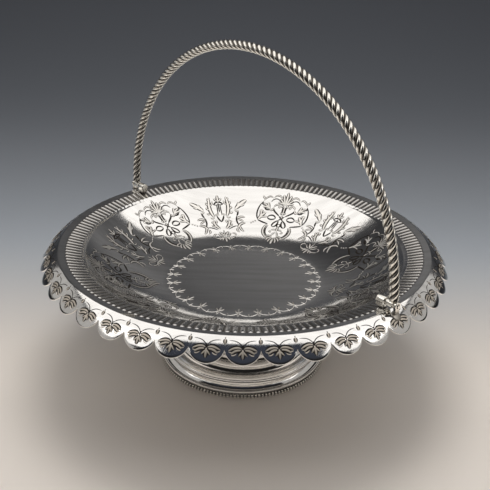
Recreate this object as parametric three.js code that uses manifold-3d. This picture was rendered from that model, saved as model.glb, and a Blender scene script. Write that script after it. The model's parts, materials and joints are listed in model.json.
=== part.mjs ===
// Swing-handle basket: a round footed dish of thin sheet with a scalloped flange, a fluted rim
// and a twisted bar handle that swings on two hinges.
// Millimetres, +Z up. The origin is the centre of the foot's resting plane and the hinge line lies along X.
import * as THREE from 'three';
import { mergeVertices } from 'three/addons/utils/BufferGeometryUtils.js';
import Module from 'manifold-3d';

const wasm = await Module();
wasm.setup();

// Gap kept where one piece is soldered to, or seats on, another
const SEAT_GAP = 0.3;

// Dish: sheet, well and bowl
const SHEET = 1.1;
const WELL_RADIUS = 51.5;
const BOWL_RADIUS = 101.6;
const BOWL_DEPTH = 24.2;
const BOWL_START_SLOPE = 8;
const BOWL_STEPS = 6;

// Dish: plain band at the top of the bowl's wall, flatter than the wall
const BAND_WIDTH = 2.6;
const BAND_RISE = 1.0;

// Dish: band of radial flutes, rising outward
const FLUTE_LENGTH = 9.9;
const FLUTE_RISE = 2.2;
const FLUTE_DEPTH = 0.9;
const FLUTE_END = 0.8;
const FLUTE_COUNT = 176;

// Dish: shallow cove up to the sharp crest, and the turned-down flange cut into lappets
const COVE_WIDTH = 4.2;
const COVE_DEPTH = 0.2;
const CREST_RISE = 0.7;
const FLANGE_SLOPE = 42;
const FLANGE_TURN = 24;
const FLANGE_STEPS = 4;
const FLANGE_WIDTH = 11.7;
const LAPPET_COUNT = 42;
const LAPPET_REACH = 5.6;
const LAPPET_STEPS = 8;
const RIM_SEGMENTS = 168;

// Foot: spun shell, mouldings stacked upward and inward from the base
const FOOT_HEIGHT = 55.9;
const FOOT_RADIUS = 56.0;
const FOOT_SHEET = 1.0;
const FOOT_SEGMENTS = 48;
const WIRE_DIAMETER = 3.3;
const WIRE_SIDES = 6;
const WIRE_SEGMENTS = 84;
const BASE_LIP = 3.0;
const FILLET_INSET = 1.1;
const FILLET_HEIGHT = 2.0;
const GROOVE_DEPTH = 0.8;
const GROOVE_HEIGHT = 1.0;
const OVOLO_WIDTH = 3.0;
const OVOLO_HEIGHT = 3.3;
const OVOLO_TURN = 30;
const RISER_SLANT = 0.3;
const RISER_HEIGHT = 1.1;
const RIDGE_WIDTH = 2.5;
const RIDGE_HEIGHT = 1.4;
const RIDGE_TURN = 50;
const STEP_WIDTH = 2.6;
const STEP_SINK = 0.4;
const DOME_RISER_SLANT = 0.9;
const DOME_RISER_HEIGHT = 2.8;
const DOME_WIDTH = 4.6;
const DOME_HEIGHT = 3.6;
const DOME_TURN = 40;
const NECK_WIDTH = 0.7;
const NECK_HEIGHT = 1.4;
const NECK_TURN = 50;
const WAIST_RADIUS = 33.0;
const WAIST_HEIGHT = 38.0;
const SEAT_RADIUS = 41.0;
const SEAT_HEIGHT = 1.2;
const SEAT_WIDTH = 3.6;

// Hinges, seen along the hinge line: barrel inside the crest, knuckle over it, ear outside it
const HINGE_OUTSET = 1.2;
const KNUCKLE_INSET = 1.3;
const BARREL_DIAMETER = 5.2;
const BARREL_LENGTH = 6.0;
const BARREL_END_WALL = 1.2;
const KNUCKLE_DIAMETER = 4.2;
const KNUCKLE_LENGTH = 5.3;
const SOCKET_LIFT = 2.8;
const SOCKET_HEIGHT = 1.4;
const EAR_DIAMETER = 5.0;
const EAR_THICKNESS = 2.0;
const EAR_FOOT_WIDTH = 5.6;
const EAR_PLATE_WIDTH = 9.0;
const EAR_PLATE_LENGTH = 6.6;
const EAR_PLATE_THICKNESS = 0.8;
const EAR_PLATE_INSET = 3.2;
const PIN_DIAMETER = 2.2;
const PIN_CLEARANCE = 0.3;
const PIN_PROUD = 0.5;
const ROUND_SIDES = 16;

// Handle: a bar of four lobes, twisted right-handed along a half-round arch
const HANDLE_RISE = 120.0;
const BAR_DIAMETER = 6.0;
const BAR_LOBES = 4;
const BAR_VALLEY_DEPTH = 0.9;
const BAR_LEAD = 16.5;
const BAR_STEPS_PER_TURN = 8;

const rad = THREE.MathUtils.degToRad;

// Heights and radii that follow from the driving dimensions
const wellZ = FOOT_HEIGHT + SEAT_GAP + SHEET;
const edgeZ = wellZ + BOWL_DEPTH;
const lipZ = edgeZ + BAND_RISE;
const fluteInner = BOWL_RADIUS + BAND_WIDTH;
const fluteOuter = fluteInner + FLUTE_LENGTH;
const fluteTopZ = lipZ + FLUTE_RISE;
const flangeTop = fluteOuter + COVE_WIDTH;
const crestZ = fluteTopZ + CREST_RISE;
const tipRadius = flangeTop + FLANGE_WIDTH;
const hingeZ = crestZ + SEAT_GAP + Math.max(BAR_DIAMETER, BARREL_DIAMETER) / 2;
const hingeRadius = flangeTop + HINGE_OUTSET;

// The flange is a circular arc in section, so its radius gives its height and its slope
const flangeStart = rad(FLANGE_SLOPE - FLANGE_TURN / 2);
const flangeArc = FLANGE_WIDTH / Math.cos(rad(FLANGE_SLOPE)) / (2 * Math.sin(rad(FLANGE_TURN / 2)));
const flangeSlope = (radius) => Math.asin(Math.sin(flangeStart) + (radius - flangeTop) / flangeArc);
const flangeZ = (radius) => crestZ + flangeArc * (Math.cos(flangeSlope(radius)) - Math.cos(flangeStart));

// Points of a circular arc that turns by the given angle on its way; the first point is left out
function arc(from, to, turn, steps) {
  const chord = Math.atan2(to[1] - from[1], to[0] - from[0]);
  const length = Math.hypot(to[0] - from[0], to[1] - from[1]);
  const radius = length / (2 * Math.sin(turn / 2));
  const start = chord - turn / 2;
  const points = [];
  for (let k = 1; k <= steps; k += 1) {
    const heading = start + turn * k / steps;
    points.push([
      from[0] + radius * (Math.sin(heading) - Math.sin(start)),
      from[1] - radius * (Math.cos(heading) - Math.cos(start)),
    ]);
  }
  return points;
}

// The same profile moved by a distance to its right-hand side, seen along its direction
function offset(profile, distance) {
  return profile.map((point, k) => {
    const before = profile[Math.max(k - 1, 0)];
    const after = profile[Math.min(k + 1, profile.length - 1)];
    const angle = Math.atan2(after[1] - before[1], after[0] - before[0]);
    return [point[0] + distance * Math.sin(angle), point[1] - distance * Math.cos(angle)];
  });
}

// One ring of points round Z; the shape gives radius, height and an optional shift of the angle
function ring(count, shape) {
  return Array.from({ length: count }, (_, k) => {
    const [radius, z, shift = 0] = shape(k);
    const angle = 2 * Math.PI * k / count + shift;
    return new THREE.Vector3(radius * Math.cos(angle), radius * Math.sin(angle), z);
  });
}

// Closed surface over rings of points, capped at both ends. Each ring may have its own count:
// the triangles between two rings follow whichever ring's next point comes first.
function skin(rings) {
  const points = rings.flat();
  const starts = rings.map((_, k) => rings.slice(0, k).flat().length);
  const faces = [];
  for (let r = 0; r + 1 < rings.length; r += 1) {
    const [below, above] = [rings[r].length, rings[r + 1].length];
    const b = (j) => starts[r] + j % below;
    const a = (j) => starts[r + 1] + j % above;
    let [i, j] = [0, 0];
    while (i < below || j < above) {
      if (j === above || (i + 0.5) * above <= (j + 0.5) * below) {
        faces.push([b(i), b(i + 1), a(j)]);
        i += 1;
      } else {
        faces.push([a(j + 1), a(j), b(i)]);
        j += 1;
      }
    }
  }
  for (const [r, order] of [[0, -1], [rings.length - 1, 1]]) {
    const n = rings[r].length;
    const centre = rings[r].reduce((sum, point) => sum.add(point), new THREE.Vector3()).divideScalar(n);
    points.push(centre);
    for (let k = 0; k < n; k += 1) {
      const edge = [starts[r] + k, starts[r] + (k + 1) % n];
      if (order < 0) edge.reverse();
      faces.push([...edge, points.length - 1]);
    }
  }
  const geometry = new THREE.BufferGeometry();
  geometry.setAttribute('position', new THREE.Float32BufferAttribute(points.flatMap((p) => p.toArray()), 3));
  geometry.setIndex(faces.flat());
  return geometry;
}

// Spun ring from a closed profile, turned so that its faces point out
function spun(profile, segments) {
  const corners = profile.map(([radius, z]) => new THREE.Vector2(radius, z));
  if (THREE.ShapeUtils.area(corners) < 0) corners.reverse();
  const points = [...corners, corners[0]];
  return new THREE.LatheGeometry(points, segments).rotateX(Math.PI / 2);
}

// Conversions between three.js geometry and solids for joining and cutting
function toSolid(geometry) {
  const bare = geometry.clone();
  bare.deleteAttribute('normal');
  bare.deleteAttribute('uv');
  const merged = mergeVertices(bare, 1e-4);
  return new wasm.Manifold(new wasm.Mesh({
    numProp: 3,
    vertProperties: new Float32Array(merged.attributes.position.array),
    triVerts: new Uint32Array(merged.index.array),
  }));
}

function toGeometry(solid) {
  const mesh = solid.getMesh();
  const geometry = new THREE.BufferGeometry();
  geometry.setAttribute('position', new THREE.Float32BufferAttribute(mesh.vertProperties, 3));
  geometry.setIndex([...mesh.triVerts]);
  return geometry;
}

// Round bar along X between two stations of the hinge line
function hingeRound(diameter, from, to, sides = ROUND_SIDES) {
  return new THREE.CylinderGeometry(diameter / 2, diameter / 2, to - from, sides)
    .rotateZ(Math.PI / 2)
    .translate((from + to) / 2, 0, hingeZ);
}

// Dish
function dishGeometry() {
  const coarse = 2 * LAPPET_COUNT;
  const bowlChord = Math.atan2(BOWL_DEPTH, BOWL_RADIUS - WELL_RADIUS);
  const bowlTurn = 2 * (bowlChord - rad(BOWL_START_SLOPE));
  const inner = [
    [WELL_RADIUS, wellZ],
    ...arc([WELL_RADIUS, wellZ], [BOWL_RADIUS, edgeZ], bowlTurn, BOWL_STEPS),
    [fluteInner, lipZ],
  ];
  const outer = [
    [fluteOuter, fluteTopZ],
    [fluteOuter + COVE_WIDTH / 2, fluteTopZ + CREST_RISE / 2 - COVE_DEPTH],
  ];
  const flange = (share) => {
    const radius = flangeTop + share * (tipRadius - LAPPET_REACH - flangeTop);
    return [radius, flangeZ(radius)];
  };
  const shares = Array.from({ length: FLANGE_STEPS }, (_, k) => k / FLANGE_STEPS);
  const under = offset([
    [0, wellZ],
    ...inner.filter((_, k) => k % 2 === 0),
    [fluteInner, lipZ],
    [fluteOuter, fluteTopZ],
    [flangeTop, crestZ - CREST_RISE / 2],
    ...shares.slice(1).map(flange),
    [tipRadius, flangeZ(tipRadius)],
  ], SHEET).slice(1, -1);
  const plain = ([radius, z]) => ring(coarse, () => [radius, z]);
  const fluteRise = (radius) => lipZ + FLUTE_RISE * (radius - fluteInner) / FLUTE_LENGTH;
  const fluted = (radius) => ring(2 * FLUTE_COUNT, (k) => [
    radius,
    fluteRise(radius) + (k % 2 === 0 ? 0.5 : -0.5) * FLUTE_DEPTH,
  ]);
  const notchRadius = tipRadius - LAPPET_REACH;
  const edge = (depth) => ring(LAPPET_STEPS * LAPPET_COUNT, (k) => {
    const step = ((k + LAPPET_STEPS / 2) % LAPPET_STEPS) - LAPPET_STEPS / 2;
    const sweep = 2 * Math.PI * step / LAPPET_STEPS / 2;
    const radius = notchRadius + LAPPET_REACH * Math.cos(sweep);
    const shift = (Math.sin(sweep) - 2 * step / LAPPET_STEPS) * Math.PI / LAPPET_COUNT;
    const slope = flangeSlope(radius);
    return [radius - depth * Math.sin(slope), flangeZ(radius) - depth * Math.cos(slope), shift];
  });
  return skin([
    ...under.map(plain),
    edge(SHEET),
    edge(0),
    ...shares.map(flange).reverse().map(plain),
    ...outer.reverse().map(plain),
    fluted(fluteOuter - FLUTE_END),
    fluted(fluteInner + FLUTE_END),
    ...inner.reverse().map(plain),
  ]);
}

// Foot: outer profile from the base up to the seat under the dish, then back down inside
function footGeometry() {
  const wallRadius = FOOT_RADIUS - WIRE_DIAMETER - SEAT_GAP;
  const filletRadius = FOOT_RADIUS - FILLET_INSET;
  const filletZ = WIRE_DIAMETER + SEAT_GAP;
  const grooveRadius = filletRadius - GROOVE_DEPTH;
  const grooveZ = filletZ + FILLET_HEIGHT;
  const ovoloZ = grooveZ + GROOVE_HEIGHT;
  const ovoloTop = [filletRadius - OVOLO_WIDTH, ovoloZ + OVOLO_HEIGHT];
  const ridgeStart = [ovoloTop[0] - RISER_SLANT, ovoloTop[1] + RISER_HEIGHT];
  const ridgeEnd = [ridgeStart[0] - RIDGE_WIDTH, ridgeStart[1] + RIDGE_HEIGHT];
  const stepEnd = [ridgeEnd[0] - STEP_WIDTH, ridgeEnd[1] - STEP_SINK];
  const domeStart = [stepEnd[0] - DOME_RISER_SLANT, stepEnd[1] + DOME_RISER_HEIGHT];
  const domeEnd = [domeStart[0] - DOME_WIDTH, domeStart[1] + DOME_HEIGHT];
  const neckStart = [domeEnd[0] - NECK_WIDTH, domeEnd[1] + NECK_HEIGHT];
  const waist = [WAIST_RADIUS, WAIST_HEIGHT];
  const seat = [SEAT_RADIUS, FOOT_HEIGHT - SEAT_HEIGHT];
  const outside = [
    [wallRadius, 0],
    [wallRadius, filletZ],
    [filletRadius, filletZ],
    [filletRadius, grooveZ],
    [grooveRadius, grooveZ],
    [grooveRadius, ovoloZ],
    [filletRadius, ovoloZ],
    ...arc([filletRadius, ovoloZ], ovoloTop, rad(OVOLO_TURN), 2),
    ridgeStart,
    ...arc(ridgeStart, ridgeEnd, rad(RIDGE_TURN), 2),
    stepEnd,
    domeStart,
    ...arc(domeStart, domeEnd, rad(DOME_TURN), 2),
    neckStart,
    ...arc(neckStart, waist, rad(-NECK_TURN), 3),
    ...arc(waist, seat, rad(-NECK_TURN), 3),
    [SEAT_RADIUS, FOOT_HEIGHT],
  ];
  const lining = 1.5 * FOOT_SHEET;
  const inside = [
    [SEAT_RADIUS - SEAT_WIDTH, FOOT_HEIGHT],
    [WAIST_RADIUS - FOOT_SHEET, (WAIST_HEIGHT + FOOT_HEIGHT) / 2],
    [WAIST_RADIUS - FOOT_SHEET, WAIST_HEIGHT],
    [neckStart[0] - lining, neckStart[1]],
    [stepEnd[0] - lining, stepEnd[1] - FOOT_SHEET],
    [grooveRadius - lining, grooveZ],
    [wallRadius - FOOT_SHEET, filletZ],
    [wallRadius - FOOT_SHEET, FOOT_SHEET],
    [wallRadius - BASE_LIP, FOOT_SHEET],
    [wallRadius - BASE_LIP, 0],
  ];
  return spun([...outside, ...inside], FOOT_SEGMENTS);
}

// Bead wire soldered round the foot's base
function wireGeometry() {
  const centre = FOOT_RADIUS - WIRE_DIAMETER / 2;
  const turn = new THREE.TorusGeometry(centre, WIRE_DIAMETER / 2, WIRE_SIDES, WIRE_SEGMENTS);
  return turn.translate(0, 0, WIRE_DIAMETER / 2 * Math.sin(Math.PI / 3));
}

// Everything under the rim's top surface, raised by the seat gap, to cut the hinge pieces' feet
function rimCutter() {
  const flange = [0, 1, 2, 3, 4].map((k) => flangeTop + k * FLANGE_WIDTH / 4);
  const top = [
    [BOWL_RADIUS, edgeZ],
    [fluteInner, lipZ + FLUTE_DEPTH / 2],
    [fluteOuter, fluteTopZ + FLUTE_DEPTH / 2],
    ...flange.map((radius) => [radius, flangeZ(radius)]),
  ].map(([radius, z]) => [radius, z + SEAT_GAP]);
  return toSolid(spun([...top, [tipRadius, wellZ], [BOWL_RADIUS, wellZ]], RIM_SEGMENTS));
}

// Stations along the hinge line, from the middle outward
const knuckleTo = hingeRadius + KNUCKLE_LENGTH / 2 - KNUCKLE_INSET;
const knuckleFrom = knuckleTo - KNUCKLE_LENGTH;
const barrelTo = knuckleFrom - SEAT_GAP;
const barrelFrom = barrelTo - BARREL_LENGTH;
const earFrom = knuckleTo + SEAT_GAP;
const earTo = earFrom + EAR_THICKNESS;
const boreDiameter = PIN_DIAMETER + 2 * PIN_CLEARANCE;

function barrelGeometry(cutter) {
  const block = new THREE.BoxGeometry(BARREL_LENGTH, BARREL_DIAMETER, hingeZ - lipZ)
    .translate((barrelFrom + barrelTo) / 2, 0, (hingeZ + lipZ) / 2);
  const bore = hingeRound(boreDiameter, barrelFrom + BARREL_END_WALL, barrelTo + 1);
  return toGeometry(toSolid(hingeRound(BARREL_DIAMETER, barrelFrom, barrelTo))
    .add(toSolid(block))
    .subtract(cutter)
    .subtract(toSolid(bore)));
}

function earGeometry(cutter) {
  const half = EAR_FOOT_WIDTH / 2;
  const outline = new THREE.Shape();
  outline.moveTo(-half, flangeZ(tipRadius) - hingeZ);
  outline.lineTo(half, flangeZ(tipRadius) - hingeZ);
  outline.lineTo(EAR_DIAMETER / 2, 0);
  outline.absarc(0, 0, EAR_DIAMETER / 2, 0, Math.PI, false);
  const upright = new THREE.ExtrudeGeometry(outline, {
    depth: EAR_THICKNESS,
    bevelEnabled: false,
    curveSegments: ROUND_SIDES / 2,
  }).rotateX(Math.PI / 2).rotateZ(Math.PI / 2).translate(earFrom, 0, hingeZ);
  const from = earTo - EAR_PLATE_INSET;
  const to = from + EAR_PLATE_LENGTH;
  const strip = [
    [from, flangeZ(from) + SEAT_GAP],
    [to, flangeZ(to) + SEAT_GAP],
    [to, flangeZ(to) + SEAT_GAP + EAR_PLATE_THICKNESS],
    [from, flangeZ(from) + SEAT_GAP + EAR_PLATE_THICKNESS],
  ];
  const window = new THREE.BoxGeometry(2 * EAR_PLATE_LENGTH, EAR_PLATE_WIDTH, 4 * EAR_PLATE_LENGTH)
    .translate((from + to) / 2, 0, flangeZ(from));
  const plate = toSolid(spun(strip, RIM_SEGMENTS)).intersect(toSolid(window));
  const bore = hingeRound(boreDiameter, earFrom - 1, earTo + 1);
  return toGeometry(toSolid(upright).subtract(cutter).add(plate).subtract(toSolid(bore)));
}

// Knuckle on the handle's end: a short neck carries the socket that takes the twisted bar
function knuckleGeometry() {
  const upright = (diameter, x, from, to) => toSolid(
    new THREE.CylinderGeometry(diameter / 2, diameter / 2, to - from, ROUND_SIDES)
      .rotateX(Math.PI / 2)
      .translate(x, 0, hingeZ + (from + to) / 2),
  );
  const neck = upright(KNUCKLE_DIAMETER, (knuckleFrom + knuckleTo) / 2, 0, SOCKET_LIFT + SOCKET_HEIGHT / 2);
  const socket = upright(BAR_DIAMETER, hingeRadius, SOCKET_LIFT, SOCKET_LIFT + SOCKET_HEIGHT);
  const bore = hingeRound(boreDiameter, knuckleFrom - 1, knuckleTo + 1);
  return toGeometry(toSolid(hingeRound(KNUCKLE_DIAMETER, knuckleFrom, knuckleTo))
    .add(neck)
    .add(socket)
    .subtract(toSolid(bore)));
}

function pinGeometry() {
  return hingeRound(PIN_DIAMETER, barrelFrom + BARREL_END_WALL + SEAT_GAP, earTo + PIN_PROUD);
}

// Handle bar: its section turns once per lead along the arch
function barGeometry() {
  const arch = (t) => new THREE.Vector3(hingeRadius * Math.cos(t), 0, hingeZ + HANDLE_RISE * Math.sin(t));
  const samples = 4000;
  const first = Math.asin((SOCKET_LIFT + SOCKET_HEIGHT + SEAT_GAP) / HANDLE_RISE);
  const at = (k) => first + (Math.PI - 2 * first) * k / samples;
  const lengths = [0];
  for (let k = 1; k <= samples; k += 1) {
    lengths.push(lengths[k - 1] + arch(at(k)).distanceTo(arch(at(k - 1))));
  }
  const total = lengths[samples];
  const steps = Math.round(total / BAR_LEAD * BAR_STEPS_PER_TURN);
  const sides = 2 * BAR_LOBES;
  const rings = [];
  let k = 0;
  for (let step = 0; step <= steps; step += 1) {
    const target = total * step / steps;
    while (k < samples && lengths[k] < target) k += 1;
    const t = at(k);
    const centre = arch(t);
    const outward = new THREE.Vector3(HANDLE_RISE * Math.cos(t), 0, hingeRadius * Math.sin(t)).normalize();
    const across = new THREE.Vector3(0, 1, 0);
    const turn = 2 * Math.PI * target / BAR_LEAD;
    rings.push(Array.from({ length: sides }, (_, j) => {
      const angle = 2 * Math.PI * j / sides + turn;
      const radius = BAR_DIAMETER / 2 - (j % 2 === 0 ? 0 : BAR_VALLEY_DEPTH);
      return centre.clone()
        .addScaledVector(outward, radius * Math.cos(angle))
        .addScaledVector(across, radius * Math.sin(angle));
    }));
  }
  return skin(rings);
}

// Finishes
const silver = (roughness) => new THREE.MeshStandardMaterial({ color: 0xd8d6d0, roughness, metalness: 1 });
const polished = silver(0.12);
const worn = silver(0.25);

const basket = new THREE.Group();
function add(name, geometry, material, parent = basket) {
  const mesh = new THREE.Mesh(geometry, material);
  mesh.name = name;
  parent.add(mesh);
  return mesh;
}

add('dish', dishGeometry(), polished);
add('foot', footGeometry(), polished);
add('foot_bead_wire', wireGeometry(), worn);
add('handle_bar', barGeometry(), worn);

const cutter = rimCutter();
for (const [side, turn] of [['right', 0], ['left', Math.PI]]) {
  const hinge = new THREE.Group();
  hinge.rotation.z = turn;
  basket.add(hinge);
  add(`hinge_barrel_${side}`, barrelGeometry(cutter), worn, hinge);
  add(`hinge_ear_${side}`, earGeometry(cutter), worn, hinge);
  add(`handle_knuckle_${side}`, knuckleGeometry(), worn, hinge);
  add(`hinge_pin_${side}`, pinGeometry(), worn, hinge);
}

export default basket;
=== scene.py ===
"""Swing-handle basket of silver plate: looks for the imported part, with its floor, light and camera."""
import json
import math
from types import SimpleNamespace

import bpy
import numpy as np
from bpy.props import FloatProperty, FloatVectorProperty, IntProperty, PointerProperty
from mathutils import Matrix, Vector


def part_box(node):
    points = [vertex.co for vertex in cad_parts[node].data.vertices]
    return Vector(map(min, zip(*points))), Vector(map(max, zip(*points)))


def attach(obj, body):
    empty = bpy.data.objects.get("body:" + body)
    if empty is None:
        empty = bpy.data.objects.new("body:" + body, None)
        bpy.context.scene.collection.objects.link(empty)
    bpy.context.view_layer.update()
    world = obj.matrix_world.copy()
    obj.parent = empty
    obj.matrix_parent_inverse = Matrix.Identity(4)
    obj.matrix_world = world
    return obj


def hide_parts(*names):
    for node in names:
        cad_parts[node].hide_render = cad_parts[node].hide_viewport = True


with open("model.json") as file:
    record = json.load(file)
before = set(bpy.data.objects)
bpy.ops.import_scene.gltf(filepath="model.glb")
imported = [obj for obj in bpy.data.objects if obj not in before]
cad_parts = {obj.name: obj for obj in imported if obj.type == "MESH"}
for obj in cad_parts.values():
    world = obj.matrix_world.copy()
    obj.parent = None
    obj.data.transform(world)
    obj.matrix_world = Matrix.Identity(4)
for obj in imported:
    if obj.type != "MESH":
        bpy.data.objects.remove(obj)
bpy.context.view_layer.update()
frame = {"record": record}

bl_info = {
    "name": "Swing-handle basket",
    "version": (1, 0, 0),
    "blender": (4, 5, 0),
    "location": "3D View > Sidebar > Basket",
    "description": "Builds the surfaces, finishes and studio of a round footed basket with a swing handle",
    "category": "Add Mesh",
}

MM = 0.001
HINGE = frame["record"]["behaviour"]["joints"][0]["pos_m"]


# Properties

def length(name, description, value):
    """A size in metres."""
    return FloatProperty(name=name, description=description, default=value, unit="LENGTH", precision=5)


def angle(name, description, degrees):
    """An angle, given in degrees and kept in radians."""
    return FloatProperty(name=name, description=description, default=math.radians(degrees), subtype="ANGLE")


def count(name, description, value):
    """A number of repeats."""
    return IntProperty(name=name, description=description, default=value, min=1)


def share(name, description, value):
    """A plain number."""
    return FloatProperty(name=name, description=description, default=value, precision=3)


def colour(name, description, value):
    """A linear colour."""
    return FloatVectorProperty(
        name=name, description=description, default=value, subtype="COLOR", min=0, max=1,
    )


class DishSizes(bpy.types.PropertyGroup):
    """Sizes of the dish's sheet, bowl, flutes and flange."""
    sheet: length("Sheet", "Thickness of the dish's sheet", 0.0011)
    well_radius: length("Well", "Radius of the flat well", 0.0515)
    bowl_radius: length("Bowl", "Radius of the bowl's wall at its top", 0.1016)
    start_slope: angle("Start slope", "Slope of the bowl's wall at the well", 8)
    bowl_depth: length("Bowl depth", "Height of the bowl's wall", 0.0242)
    band_width: length("Band width", "Width of the plain band between wall and flutes", 0.0026)
    band_rise: length("Band rise", "Height that the plain band gains outward", 0.001)
    flute_length: length("Flute length", "Length of the flutes along the radius", 0.0099)
    flute_rise: length("Flute rise", "Height that the fluted band gains outward", 0.0022)
    flute_depth: length("Flute depth", "Height of a flute's ridge over its groove", 0.00065)
    flute_end: length("Flute end", "Length of a flute's rounded outer end", 0.0009)
    flute_count: count("Flutes", "Number of flutes round the rim", 176)
    cove_width: length("Cove width", "Width of the cove between flutes and crest", 0.0042)
    cove_depth: length("Cove depth", "Depth of the cove", 0.00003)
    crest_rise: length("Crest rise", "Height of the crest above the flutes", 0.0007)
    flange_slope: angle("Flange slope", "Mean fall of the flange", 42)
    flange_turn: angle("Flange turn", "How much the flange bends downward on its way", 24)
    lappet_count: count("Lappets", "Number of lappets round the flange", 42)
    lappet_reach: length("Lappet reach", "How far a lappet reaches past its notches", 0.0056)


class FootSizes(bpy.types.PropertyGroup):
    """Sizes of the spun foot and its wire."""
    shell: length("Shell", "Thickness of the foot's sheet", 0.001)
    wire: length("Wire", "Thickness of the wire round the foot's base", 0.0033)
    bead_count: count("Beads", "Number of beads on the wire", 156)
    edge: length("Edge", "Rounding of the mouldings' edges", 0.00025)
    waist_radius: length("Waist radius", "Radius of the foot's waist", 0.033)
    waist_height: length("Waist height", "Height of the foot's waist", 0.038)
    seat_radius: length("Seat radius", "Radius of the foot's top under the dish", 0.041)


class HandleSizes(bpy.types.PropertyGroup):
    """Sizes of the twisted bar."""
    bar: length("Bar", "Diameter over the bar's lobes", 0.006)
    strand: length("Strand", "Diameter of one lobe", 0.0029)
    lobes: count("Lobes", "Number of lobes in the bar", 4)
    lead: length("Lead", "Length along the bar of one full turn", 0.0165)
    start: length("Start", "Height above the hinges at which the bar begins", 0.0028)


class HingeSizes(bpy.types.PropertyGroup):
    """Sizes of barrels, knuckles, ears and pins."""
    gap: length("Gap", "Gap between neighbouring pieces of a hinge", 0.0003)
    bore: length("Bore", "Diameter of the holes for the pin", 0.0028)
    pin: length("Pin", "Diameter of the pin", 0.0022)
    bevel: length("Bevel", "Rounding of the pieces' edges", 0.0004)
    barrel: length("Barrel", "Diameter of the barrel", 0.005)
    knuckle: length("Knuckle", "Length of the knuckle", 0.0053)
    neck: length("Neck", "Diameter of the neck between knuckle and bar", 0.0034)
    ear: length("Ear", "Diameter of the ear", 0.0047)
    ear_thickness: length("Ear thickness", "Thickness of the ear", 0.002)
    plate_width: length("Plate width", "Width of the ear's plate on the flange", 0.0062)


class EngravingSizes(bpy.types.PropertyGroup):
    """Relief of the engraved lines."""
    height: length("Height", "Highest relief of a stroke", 0.00018)
    steepness: share("Steepness", "Relief of a narrow stroke, as a share of its width", 0.4)
    sink: length("Sink", "Depth of a stroke's edges in the sheet", 0.00002)


class Finishes(bpy.types.PropertyGroup):
    """Colours and roughness of the silver."""
    silver: colour("Silver", "Colour of polished silver plate", (0.90, 0.89, 0.87))
    worn: colour("Worn silver", "Colour of lightly worn silver plate", (0.96, 0.93, 0.86))
    # Also the colour of the shade painted in the foot's corners, between beads and strands, and on the
    # hinges' legs and pin
    tarnish_and_shade: colour("Tarnish and shade", "Colour of the tarnish in grooves", (0.08, 0.06, 0.042))
    matted: colour("Matted silver", "Colour of the matted leaves on the flange", (0.71, 0.65, 0.57))
    chased: colour("Chased silver", "Colour of the engraved ornament in the bowl", (0.95, 0.92, 0.87))
    cut: colour("Cut lines", "Colour of the engraving's darkened lines", (0.045, 0.038, 0.032))
    polish: share("Polish", "Roughness of the polished sheet", 0.065)
    wear: share("Wear", "Roughness of the handle and hinges", 0.1)
    matt: share("Matt", "Roughness of the engraving on the flange", 0.45)
    chasing: share("Chasing", "Roughness of the engraving in the bowl", 0.3)


class StudioSettings(bpy.types.PropertyGroup):
    """Floor, backdrop, light and camera."""
    floor: colour("Floor", "Colour of the floor in front", (0.765, 0.715, 0.665))
    distant: colour("Distant floor", "Colour of the floor behind the basket", (0.67, 0.725, 0.79))
    backdrop: colour("Backdrop", "Colour of the backdrop far behind the basket", (0.026, 0.028, 0.036))
    upper: colour("Upper backdrop", "Colour of the backdrop above the camera's view", (0.25, 0.25, 0.255))
    # The floor's fade toward the backdrop's tone is a painted falloff of the light
    fade: length("Fade", "Distance behind the basket over which the floor's tone halves", 0.17)
    room: colour("Room", "Colour of the dim room overhead", (0.04, 0.045, 0.06))
    room_low: colour("Low room", "Colour of the room near the horizon", (0.014, 0.013, 0.012))
    room_seen: colour(
        "Seen room", "Colour of the room where the camera looks past the backdrop", (0.055, 0.058, 0.066),
    )
    glow: share("Glow", "Share of the paper's colour that it gives off by itself", 0.02)
    upper_glow: share("Upper glow", "The same above the camera's view", 0.3)
    mirrored_glow: share("Mirrored glow", "The same on the floor in front, where the metal mirrors it", 0.16)
    lamp: share("Lamp", "Radiance of the overhead lamp", 1.1)
    side_lamp: share("Side cards", "Radiance of the two side cards", 0.4)
    back_lamp: share("Back lamp", "Radiance of the lamp behind that draws the shadow forward", 0.3)
    top_lamp: share("Top lamp", "Radiance of the small lamp on top that deepens the shadow", 5.6)
    azimuth: angle("Azimuth", "Camera's direction round the basket", 47)
    elevation: angle("Elevation", "Camera's height above the horizon", 25.12)
    roll: angle("Roll", "Turn of the camera about its line of sight", 1.3)
    distance: length("Distance", "Distance from the camera to its target", 0.5082)
    target_height: length("Target height", "Height of the camera's target", 0.0813)
    lens: FloatProperty(
        name="Lens", description="Focal length on a 36 mm sensor", default=57.4, unit="CAMERA",
    )


# Surfaces

def turns(steps):
    """Angles of even steps round a circle."""
    return 2 * math.pi * np.arange(steps) / steps


def polar(radius, theta, z):
    """Points from their radius, angle and height."""
    return np.stack(np.broadcast_arrays(radius * np.cos(theta), radius * np.sin(theta), z), -1)


def ring(columns, radius, z, shift=0.0):
    """A ring of points round Z: radius, height and a shift of the angle may each change round it."""
    return polar(radius, turns(columns) + shift, z)


def arc(start, end, turn, steps):
    """Points of a circular arc from start to end whose direction turns by the given angle on its way."""
    chord = math.atan2(end[1] - start[1], end[0] - start[0])
    radius = math.dist(start, end) / (2 * math.sin(turn / 2))
    heading = chord - turn / 2 + turn * np.linspace(0, 1, steps + 1)
    return np.stack([
        start[0] + radius * (np.sin(heading) - np.sin(heading[0])),
        start[1] - radius * (np.cos(heading) - np.cos(heading[0])),
    ], -1)


def distances(points):
    """Distance travelled along a line of points, at each of them."""
    return np.concatenate([[0], np.cumsum(np.hypot(*np.diff(points, axis=0).T))])


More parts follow.
